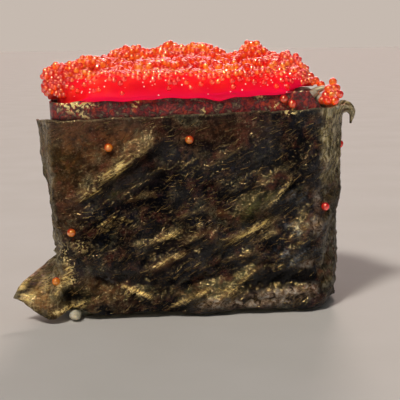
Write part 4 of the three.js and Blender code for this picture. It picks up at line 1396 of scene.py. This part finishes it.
class GUNKAN_OT_nori(bpy.types.Operator):
    """Make the wound strip of nori"""

    bl_idname = "gunkan.nori"
    bl_label = "Nori"

    def execute(self, context):
        settings = context.scene.gunkan_nori
        step = settings.grid / MM
        columns = np.linspace(0, STRIP_LENGTH, int(STRIP_LENGTH / step))
        rows = np.linspace(0, 1, int(RIM / step))
        u = columns[:, None] + 0 * rows[None, :]
        fray = FRAY * perlin(np.stack([columns * 1.1, 0 * columns, 0 * columns + 0.5], axis=-1))
        top = top_edge(columns) + fray
        hem = hem_edge(columns) + 0.8 * fray[::-1]
        z = mix(hem[:, None], top[:, None], rows[None, :])
        creases = settings.crease * crumple(u, z)
        middle = strip_point(u, z, creases)
        normal = unit(np.cross(np.gradient(middle, axis=1), np.gradient(middle, axis=0)))
        points = np.concatenate([middle + normal * SHEET / 2, middle - normal * SHEET / 2])
        front, back = np.arange(2 * u.size).reshape(2, *u.shape)

        def quads(a, b, c, d):
            return np.stack([a, b, c, d], axis=-1).reshape(-1, 4)

        faces = np.concatenate(
            [
                quads(front[:-1, :-1], front[:-1, 1:], front[1:, 1:], front[1:, :-1]),
                quads(back[:-1, :-1], back[1:, :-1], back[1:, 1:], back[:-1, 1:]),
                quads(front[:-1, 0], front[1:, 0], back[1:, 0], back[:-1, 0]),
                quads(front[:-1, -1], back[:-1, -1], back[1:, -1], front[1:, -1]),
                quads(front[0, :-1], back[0, :-1], back[0, 1:], front[0, 1:]),
                quads(front[-1, :-1], front[-1, 1:], back[-1, 1:], back[-1, :-1]),
            ]
        )
        piece = new_piece("nori_sheet", points, faces, damp_toasted_nori(settings.painted_sheen_colour))
        both_u, both_z = np.tile(u.ravel(), 2), np.tile(z.ravel(), 2)
        uv = piece.data.uv_layers.new(name="along_and_up")
        corner = np.zeros(len(piece.data.loops), int)
        piece.data.loops.foreach_get("vertex_index", corner)
        along_and_up = np.stack([both_u[corner], both_z[corner]], axis=-1)
        uv.data.foreach_set("uv", along_and_up.astype(np.float32).ravel())
        # Painted light: crests of the small creases lighter, broad folds a little darker.
        ridge = (1.3 * creases - 0.2 * fold_relief(u, z)) * (1 - smooth(33, 34.5, z))
        give(piece, "ridge", np.clip(np.tile(ridge.ravel(), 2), -1, 1))
        self.paint(piece, points[..., 0].ravel(), both_u, both_z)
        finish_piece(piece, "nori")
        return {"FINISHED"}

    def paint(self, piece, x, u, z):
        """Stores where the sheet is tinted or thin, where light through it and the roe's red glow are
        painted, and where highlights, reflections and shade are painted.
        """
        outer = smooth(plan_length - 10, plan_length - 2, u)
        past = np.maximum(0, u - plan_length - FRONT_LEFT_S)
        front = np.maximum(smooth(0.75, 0.95, -plan_at(u % plan_length)[1][:, 1]), past > 0)
        inner_strip = (1 - outer) * smooth(33.4, 34.6, z)
        painted_crest_sheen, painted_shade = wrinkle_sides(u % plan_length, z)[1:]
        give(piece, "cool", smooth(-10, 12, x) * front * outer)
        for kind in TINTS:
            wrinkled = {"gold": painted_crest_sheen, "painted_shade": 0.8 * painted_shade}.get(kind, 0)
            spread = np.maximum(tint(kind, x, z), wrinkled) * front
            give(piece, kind, spread * (np.maximum(inner_strip, outer) if kind == "painted_glint" else outer))
        # The inner ply below the roe gets a painted red glow.
        give(piece, "painted_roe_glow", inner_strip * smooth(62, 50, u))
        # The outer ply is one thin film on the wrap's right side, past a wavy line up its front corner; there
        # and on the flap light through it is painted.
        corner = plan_length + 0.2 - 1.5 * smooth(27, 18, z) + 0.3 * np.sin(1.7 * z) + 0.2 * np.sin(4.1 * z)
        right_side = smooth(0.3, -0.5, u - corner) * smooth(plan_length - 20, plan_length - 12, u)
        right_side = right_side * mix(0.25, 1, smooth(20, 25, z)) * smooth(1, 5, z)
        give(piece, "thin_backlit", np.maximum(0.5 * smooth(1.4, 2.6, past), right_side))
        give(piece, "edge", smooth(0.3, 0.1, top_edge(u) - z) * outer)


class GUNKAN_OT_fibres(bpy.types.Operator):
    """Lay single fibres on the nori"""

    bl_idname = "gunkan.fibres"
    bl_label = "Nori fibres"

    def execute(self, context):
        settings = context.scene.gunkan_nori
        random = np.random.default_rng(4)
        count, knots = settings.fibres, 4
        # Where they start: mostly where gold highlight is painted on crests and low on the front, and seldom
        # where shade is painted.
        u0 = random.uniform(2, STRIP_LENGTH - 0.8, count * 3)
        z0 = random.uniform(1.6, RIM, count * 3)
        x0 = wall_point(u0, z0, 0)[:, 0]
        front = smooth(0.75, 0.95, -plan_at(u0)[1][:, 1]) * (u0 > plan_length)
        golden = np.maximum(tint("gold", x0, z0), wrinkle_sides(u0, z0)[1]) * front
        wish = 0.28 + 1.2 * golden + 0.2 * front * smooth(26, 14, z0)
        wish = wish * (1 - 0.85 * tint("painted_shade", x0, z0) * front)
        chosen = np.flatnonzero((random.uniform(0, 1, len(u0)) < wish) & (u0 > BARE_START))[:count]
        u0, z0 = u0[chosen], z0[chosen]
        # Each is a short path of a few knots, combed with its neighbours and slightly curled.
        combed = perlin(np.stack([u0 * 0.3, z0 * 0.5, 0 * u0 + 2.2], axis=-1))
        slant = np.radians(-24 + 45 * combed + random.normal(0, 13, len(u0)))
        curl = random.normal(0, 0.09, len(u0))
        length = random.uniform(0.5, 1.8, len(u0))
        step = (length / (knots - 1))[:, None]
        k = np.arange(knots)[None, :]
        heading = slant[:, None] + curl[:, None] * (k - knots / 2)
        u = np.clip(u0[:, None] + np.cumsum(step * np.cos(heading), axis=1), 0.4, STRIP_LENGTH - 0.4)
        z = z0[:, None] + np.cumsum(step * np.sin(heading), axis=1)
        z = np.clip(z, hem_edge(u) + 0.3, top_edge(u) - 0.3)
        middle = strip_point(u, z, settings.crease * crumple(u, z))
        points = middle + strip_normal(u, z) * (SHEET / 2 + 0.01)
        thick = random.uniform(0.5, 1.3, len(u0))[:, None] * np.sin(math.pi * (k + 0.35) / (knots - 0.3))
        # Fibres where the gold highlight is painted are painted paler.
        tone = np.clip(random.beta(1.6, 3.2, len(u0)) + 0.5 * golden[chosen], 0, 1)
        first = np.arange(len(u0))[:, None] * knots + np.arange(knots - 1)[None, :]
        edges = np.stack([first, first + 1], axis=-1).reshape(-1, 2).tolist()
        values = {"thick": thick.ravel(), "tone": np.repeat(tone, knots)}
        inputs = {"Fibre radius": settings.fibre_radius}
        piece = grow("nori_fibres", points, values, fibre_tree(nori_fibre()), inputs, edges)
        finish_piece(piece)
        return {"FINISHED"}


class GUNKAN_OT_stray_eggs(bpy.types.Operator):
    """Put the single eggs on the nori"""

    bl_idname = "gunkan.stray_eggs"
    bl_label = "Stray eggs"

    def execute(self, context):
        settings = context.scene.gunkan_roe
        u, z, tone = np.array(STRAY_EGGS).T
        out = SHEET / 2 + EGG_RADIUS - EGG_SUNK
        points = strip_point(u, z, crumple(u, z)) + strip_normal(u, z) * out
        values = {"size": np.full(len(u), 1.0), "tone": tone}
        inputs = {"Egg radius": settings.egg_radius, "Seed": 3}
        piece = grow("stray_eggs", points, values, egg_tree(egg_material(settings)), inputs)
        finish_piece(piece)
        return {"FINISHED"}


class GUNKAN_OT_rice(bpy.types.Operator):
    """Make the pressed rice and the grains that show"""

    bl_idname = "gunkan.rice"
    bl_label = "Rice"

    def execute(self, context):
        settings = context.scene.gunkan_rice
        material = cooked_rice(settings.shaded_rice_colour)
        self.core(material)
        self.grains(settings, material)
        return {"FINISHED"}

    def core(self, material):
        """The pressed block: rings from the sole's middle, up along the wrap, to the middle of the top."""
        count = 200
        s = np.arange(count) / count * plan_length
        wall_inset = SHEET / 2 + RICE_CLEARANCE
        rings = [wall_point(s, 0.0, -FOOT_INSET) * (f, f, 1) for f in (0.12, 0.35, 0.6, 0.82)]
        inside_sole = len(rings)
        # The foot is drawn in below the hem, and the wall above it follows the inside of the wrap.
        for z in (0.0, 0.25, 0.7, 1.3, 1.9, 2.6, 3.6):
            inset = np.interp(z, [0, 0.7, 2.6, 3.6], [FOOT_INSET, 2.5, 1.7, 1.4])
            rings.append(wall_point(s, z, -inset))
        for z in (5.2, 7.5, 10, 12.5, 15, 17.5, 20, 22.5, 25):
            rings.append(wall_point(s, z, lowest_relief(s, np.full(count, z)) - wall_inset))
        shoulder = ((2.6, 0.8), (1.8, 1.1), (1.1, 1.6), (0.5, 2.4), (0.1, 3.6), (0, 5.2), (0, 7), (0, 9))
        for below, inset in shoulder:
            ring = wall_point(s, RICE_TOP, -wall_inset - inset)
            ring[:, 2] = rice_top_at(ring[:, 0]) - below
            rings.append(ring)
        last = rings[-1]
        for f in (0.75, 0.45, 0.15):
            ring = last * (f, f, 1)
            ring[:, 2] = rice_top_at(ring[:, 0])
            rings.append(ring)
        points = np.array(rings)
        # Relief of packed grains, sunk only, and none on the sole's rim so that it stands flat.
        lumps = 0.5 + 0.5 * perlin(points * (0.45, 0.45, 0.6) + 5)
        inwards = np.zeros_like(points)
        inwards[..., :2] = -unit(points[..., :2])
        sole = np.arange(len(points)) <= inside_sole
        depth = np.where(sole, 0, 0.5)[:, None] * lumps
        points = points + inwards * depth[..., None]
        points[:inside_sole, :, 2] += 0.3 * lumps[:inside_sole]
        top = points[..., 2] > RICE_TOP - 0.6
        points[..., 2] -= np.where(top, 0.5 * lumps, 0)
        flat = np.vstack([points.reshape(-1, 3), [(0, 0, 0.15), (0, 0, RICE_TOP - 0.2)]])
        piece = new_piece("rice_core", flat, faces_round(len(points), count), material)
        finish_piece(piece, "rice")

    def grains(self, settings, material):
        """Two rows of grains round the foot, the placed ones, and a bed of them on the bare right end."""
        random = np.random.default_rng(7)
        places, turns, sizes = [], [], []
        count = int(plan_length * MM / settings.foot_pitch)
        for row, (height, inset) in enumerate(((0.95, 2.6), (2.0, 1.95))):
            for i in range(count):
                s = (i + 0.5 * row + 0.35 * random.uniform(-1, 1)) / count * plan_length
                normal = plan_at(s)[1]
                along = math.atan2(-normal[0], normal[1])
                places.append(wall_point(s, height, -inset - 0.25 * random.uniform()))
                turns.append((0, random.uniform(-0.25, 0.25), along + random.uniform(-0.7, 0.7)))
                sizes.append(random.uniform(0.82, 0.98))
        x, y, z, heading, size = FLAP_GRAIN
        places.append((x, y, z + 0.05))
        turns.append((0, 0, heading))
        sizes.append(size)
        for x, y, up, heading, tilt, size in BARE_END_GRAINS:
            places.append((x, y, rice_top_at(x) + up))
            turns.append((0, tilt, heading))
            sizes.append(size)
        for _ in range(BED_GRAINS):
            x, y = random.uniform(17.5, 26.2), random.uniform(-9.5, 9.5)
            places.append((x, y, rice_top_at(x) - 0.25 - 0.3 * random.uniform()))
            turns.append((0, random.uniform(-0.3, 0.3), random.uniform(0, math.pi)))
            sizes.append(random.uniform(0.85, 1.0))
        places = np.array(places)
        places[:, 2] = np.maximum(places[:, 2], 0.5 * GRAIN_HEIGHT * np.array(sizes))
        values = {"turn": np.array(turns), "size": np.array(sizes)}
        inputs = {"Grain size": tuple(settings.grain_size), "Bend": GRAIN_BEND / MM}
        piece = grow("rice_grains", places, values, grain_tree(material), inputs)
        finish_piece(piece)


def egg_material(settings):
    """One material for all eggs, made on first use."""
    return bpy.data.materials.get("flying_fish_egg") or flying_fish_egg(settings.painted_rim_sheen)


class GUNKAN_OT_roe_core(bpy.types.Operator):
    """Make the heap's moist mass under the single eggs"""

    bl_idname = "gunkan.roe_core"
    bl_label = "Roe core"

    def execute(self, context):
        settings = context.scene.gunkan_roe
        fine = np.linspace(-math.pi, math.pi, 2001)
        x, y = Skin(fine).plan(mound_radius(fine))
        run = np.concatenate([[0], np.cumsum(np.hypot(np.diff(x), np.diff(y)))])
        count = int(run[-1] / ROE_GRID)
        angle = np.interp(np.arange(count) / count * run[-1], run, fine)
        skin = Skin(angle)
        t = np.linspace(0.02, 1, ROE_ROWS)[:, None] * skin.reach[None, :]
        above_edge = skin.reach - t
        surface = skin.at(t)
        pressed = band(surface)
        sunk = mix(0.6, 0.2, pressed) * smooth(0, 0.6, above_edge)
        lumps = perlin(surface * 0.55) * mix(0.22, 0.05, pressed) * smooth(0, 1.2, above_edge)
        points = surface + skin_normal(t * np.cos(angle), t * np.sin(angle)) * (lumps - sunk)[..., None]
        rings = list(points)
        # Under its lower edge the mass goes in and up to the ledge, and in and down to the rice.
        x, y = skin.plan(np.minimum(skin.behind_lip, skin.radius - skin.tuck - 0.05))
        rings.append(np.stack([x, y, skin.lip + 0.05], axis=-1))
        rings.append(np.stack([x, y, skin.ledge], axis=-1))
        x, y = skin.plan(skin.inner)
        rings.append(np.stack([x, y, skin.ledge], axis=-1))
        rings.append(np.stack([x, y, rice_top_at(x) + ROE_GAP], axis=-1))
        crown = (MOUND_X, MOUND_Y, mound_top(MOUND_X, MOUND_Y) - 0.5)
        flat = np.vstack([np.array(rings).reshape(-1, 3), [crown, (0, 0, RICE_TOP + ROE_GAP)]])
        material = roe_jelly(settings.foot_colour)
        piece = new_piece("roe_core", flat, faces_round(len(rings), count), material)
        give(piece, "pressed", np.concatenate([band(flat[:-2]), [0, 0]]))
        # The rings underneath count as low, and the two closing points as high.
        underneath = np.zeros(len(rings) * count - above_edge.size)
        height = np.concatenate([above_edge.ravel(), underneath, [9, 9]])
        give(piece, "low", smooth(2.4, 0.2, height))
        finish_piece(piece, "roe")
        return {"FINISHED"}


class GUNKAN_OT_eggs(bpy.types.Operator):
    """Scatter the eggs over the heap"""

    bl_idname = "gunkan.eggs"
    bl_label = "Eggs"

    def execute(self, context):
        settings = context.scene.gunkan_roe
        spacing = settings.spacing / MM
        random = np.random.default_rng(settings.seed)
        first = self.scatter(random, tries=90000, spacing=spacing, lift=(-0.56, -0.22), taken=())
        # Few eggs show in the pressed band, and fewest at its foot.
        hidden = band(first) * (0.99 - 0.95 * smooth(37.2, 41.0, first[:, 2]))
        first = first[random.uniform(0, 1, len(first)) > hidden]
        second = self.scatter(
            random, tries=30000, spacing=spacing, lift=(0.1, 0.6), taken=first, wanted=self.piled
        )
        clumps = clump_places()
        clumps = clumps + random.normal(0, 0.07, clumps.shape)
        eggs = np.concatenate([first, second, clumps])
        size = random.normal(0.76, 0.05, len(eggs)).clip(0.64, 0.9)
        size[-len(clumps) :] = 1.02
        tone = self.tones(random, eggs)
        tone[-len(clumps) :] += 0.2
        values = {"size": size, "tone": tone}
        inputs = {"Egg radius": settings.egg_radius, "Seed": settings.seed}
        piece = grow("roe_eggs", eggs, values, egg_tree(egg_material(settings)), inputs)
        finish_piece(piece)
        return {"FINISHED"}

    def scatter(self, random, tries, spacing, lift, taken, wanted=None):
        """Places on the heap's skin no closer than the spacing to each other or to those already taken."""
        half = MOUND_HALF_LENGTH + 9
        dx, dy = random.uniform(-half, half, tries), random.uniform(-half, half, tries)
        inside = np.hypot(dx, dy) < Skin(np.arctan2(dy, dx)).reach - 0.62
        dx, dy = dx[inside], dy[inside]
        points = skin_point(dx, dy)
        if wanted is not None:
            chosen = random.uniform(0, 1, len(points)) < wanted(points)
            dx, dy, points = dx[chosen], dy[chosen], points[chosen]
        # Eggs in the pressed band hardly stand out, and the left end is a little lower than the skin.
        out = random.uniform(*lift, len(points)) - 0.3 * smooth(-20, -24, points[:, 0])
        sunk = random.uniform(-0.5, -0.32, len(points)) + 0.1 * smooth(39, 41, points[:, 2])
        out = mix(out, sunk, band(points))
        points = points + skin_normal(dx, dy) * out[:, None]
        cells = {}

        def cell(p):
            return tuple(np.floor(p / spacing).astype(int))

        for p in taken:
            cells.setdefault(cell(p), []).append(p)
        kept = []
        for p in points:
            i, j, k = cell(p)
            around = product((i - 1, i, i + 1), (j - 1, j, j + 1), (k - 1, k, k + 1))
            near = [q for place in around for q in cells.get(place, ())]
            if all((p[0] - q[0]) ** 2 + (p[1] - q[1]) ** 2 + (p[2] - q[2]) ** 2 > spacing**2 for q in near):
                cells.setdefault((i, j, k), []).append(p)
                kept.append(p)
        return np.array(kept)

    def piled(self, points):
        """Chance of a second layer: mostly on the lumps, none on the pressed band."""
        lumps = np.clip(lump_height(points[:, 0], points[:, 1]) / 1.2, 0, 1)
        return (0.04 + 0.8 * lumps) * (1 - band(points)) * smooth(39.6, 41, points[:, 2])

    def tones(self, random, eggs):
        """From red, low on the front, to orange on the lumps and on the brow above the pressed band."""
        lumps = np.clip(lump_height(eggs[:, 0], eggs[:, 1]) / 2.0, 0, 1)
        brow = bump(eggs[:, 2] - 41.6, 0.9) * smooth(-8, -10, eggs[:, 1])
        cloud = 0.45 * perlin(eggs * 0.22) + 0.3 * perlin(eggs * 0.6 + 7)
        tone = 0.44 + 0.26 * lumps + 0.3 * brow + cloud + random.normal(0, 0.12, len(eggs))
        return np.clip(tone - 0.15 * band(eggs) * (1 - brow), 0, 1)


def direction(azimuth, elevation):
    """Out from the middle: turned from the front towards the right, and up, by angles in radians."""
    level = math.cos(elevation)
    return Vector((math.sin(azimuth) * level, -math.cos(azimuth) * level, math.sin(elevation)))


class GUNKAN_OT_stage(bpy.types.Operator):
    """Make the floor, the light and the camera"""

    bl_idname = "gunkan.stage"
    bl_label = "Stage"

    def execute(self, context):
        self.floor()
        self.light(context.scene)
        self.camera(context.scene)
        return {"FINISHED"}

    def floor(self):
        """A pale, matt floor, wide enough to meet the horizon."""
        material, add = new_material("pale_matt_floor")
        solid = add("ShaderNodeTexCoord").outputs["Object"]
        grain = add("ShaderNodeTexNoise", {"Vector": solid, "Scale": 40.0, "Detail": 4.0})
        colour = add("ShaderNodeValToRGB", {"Fac": grain}, stops=[(0.3, "#cdcac5"), (0.7, "#d2cfcb")])
        matt = {"Base Color": colour, "Roughness": 0.9, "Specular IOR Level": 0.1}
        add("ShaderNodeOutputMaterial", {"Surface": add("ShaderNodeBsdfPrincipled", matt)})
        half = FLOOR_WIDTH / 2
        corners = [(-half, -half, 0), (half, -half, 0), (half, half, 0), (-half, half, 0)]
        floor = new_piece("floor", corners, [(0, 1, 2, 3)], material)

    def light(self, scene):
        """Two soft lights, high in front and behind, with twins that only make glints, and an even room."""
        world = bpy.data.worlds.new("soft_room")
        world.use_nodes = True
        world.node_tree.nodes.clear()
        add = partial(node, world.node_tree)
        rays = add("ShaderNodeLightPath").outputs
        # Reflections see a darker room, so that wet things stay deep in colour.
        dimmed = add("ShaderNodeMapRange", {0: rays["Is Glossy Ray"], 1: 0.0, 2: 1.0, 3: 0.2, 4: 0.05})
        room = add("ShaderNodeBackground", {"Color": "#e6e6e6", "Strength": dimmed})
        backdrop = add("ShaderNodeBackground", {"Color": scene.gunkan_stage.backdrop_colour, "Strength": 1.0})
        shown = add("ShaderNodeMixShader", {0: rays["Is Camera Ray"], 1: room, 2: backdrop})
        add("ShaderNodeOutputWorld", {"Surface": shown})
        scene.world = world
        # Azimuth, elevation, width as an angle, strength, colour, and whether it lights and makes glints.
        for name, azimuth, elevation, width, strength, colour, lights, glints in (
            ("key", -34, 50, 9, 1.8, "#fff8f0", True, False),
            ("back", 168, 30, 12, 1.3, "#ffece4", True, False),
            ("key_glint", -28, 47, 7, 9.0, "#ffd890", False, True),
            ("back_glint", 172, 30, 40, 1.7, "#ffb8b0", False, True),
        ):
            lamp = bpy.data.lights.new(name, "SUN")
            lamp.angle = math.radians(width)
            lamp.energy = strength
            lamp.color = linear(colour)[:3]
            holder = bpy.data.objects.new(name, lamp)
            towards = direction(math.radians(azimuth), math.radians(elevation))
            turned = (-towards).to_track_quat("-Z", "Y").to_matrix().to_4x4()
            holder.matrix_world = Matrix.Translation(towards * 0.5) @ turned
            holder.visible_diffuse = lights
            holder.visible_glossy = glints
            scene.collection.objects.link(holder)
        scene.view_settings.view_transform = "Standard"

    def camera(self, scene):
        """Looks at the front from a little above and to the left, and is rolled a little."""
        settings = scene.gunkan_stage
        back = direction(settings.azimuth, settings.elevation)
        right = (-back).cross(Vector((0, 0, 1))).normalized()
        up = right.cross(-back)
        cosine, sine = math.cos(settings.roll), math.sin(settings.roll)
        turned = Matrix((right * cosine - up * sine, up * cosine + right * sine, back)).transposed().to_4x4()
        data = bpy.data.cameras.new("camera")
        data.lens = settings.lens
        data.sensor_width = 36
        data.clip_start = 0.01
        data.clip_end = 200
        camera = bpy.data.objects.new("camera", data)
        camera.matrix_world = Matrix.Translation(Vector(LOOK_AT) * MM + back * settings.distance) @ turned
        scene.collection.objects.link(camera)
        scene.camera = camera


class GUNKAN_PT_panel(bpy.types.Panel):
    """Lists the sushi's pieces"""

    bl_idname = "GUNKAN_PT_panel"
    bl_label = "Gunkan sushi"
    bl_space_type = "VIEW_3D"
    bl_region_type = "UI"
    bl_category = "Gunkan"

    def draw(self, context):
        for label, group, operators in (
            ("Nori", "gunkan_nori", ("gunkan.nori", "gunkan.fibres", "gunkan.stray_eggs")),
            ("Rice", "gunkan_rice", ("gunkan.rice",)),
            ("Roe", "gunkan_roe", ("gunkan.roe_core", "gunkan.eggs")),
            ("Stage", "gunkan_stage", ("gunkan.stage",)),
        ):
            box = self.layout.box()
            box.label(text=label)
            settings = getattr(context.scene, group)
            for name in settings.__annotations__:
                box.prop(settings, name)
            for operator in operators:
                box.operator(operator)


SETTINGS = {
    "gunkan_nori": GunkanNoriSettings,
    "gunkan_rice": GunkanRiceSettings,
    "gunkan_roe": GunkanRoeSettings,
    "gunkan_stage": GunkanStageSettings,
}
CLASSES = (
    GUNKAN_OT_nori,
    GUNKAN_OT_fibres,
    GUNKAN_OT_stray_eggs,
    GUNKAN_OT_rice,
    GUNKAN_OT_roe_core,
    GUNKAN_OT_eggs,
    GUNKAN_OT_stage,
    GUNKAN_PT_panel,
)


def register():
    for name, group in SETTINGS.items():
        bpy.utils.register_class(group)
        setattr(bpy.types.Scene, name, PointerProperty(type=group))
    for item in CLASSES:
        bpy.utils.register_class(item)


def unregister():
    for item in reversed(CLASSES):
        bpy.utils.unregister_class(item)
    for name, group in reversed(SETTINGS.items()):
        delattr(bpy.types.Scene, name)
        bpy.utils.unregister_class(group)


def main():
    register()
    bpy.ops.gunkan.nori()
    bpy.ops.gunkan.fibres()
    bpy.ops.gunkan.stray_eggs()
    bpy.ops.gunkan.rice()
    bpy.ops.gunkan.roe_core()
    bpy.ops.gunkan.eggs()
    bpy.ops.gunkan.stage()


if __name__ == "__main__":
    main()
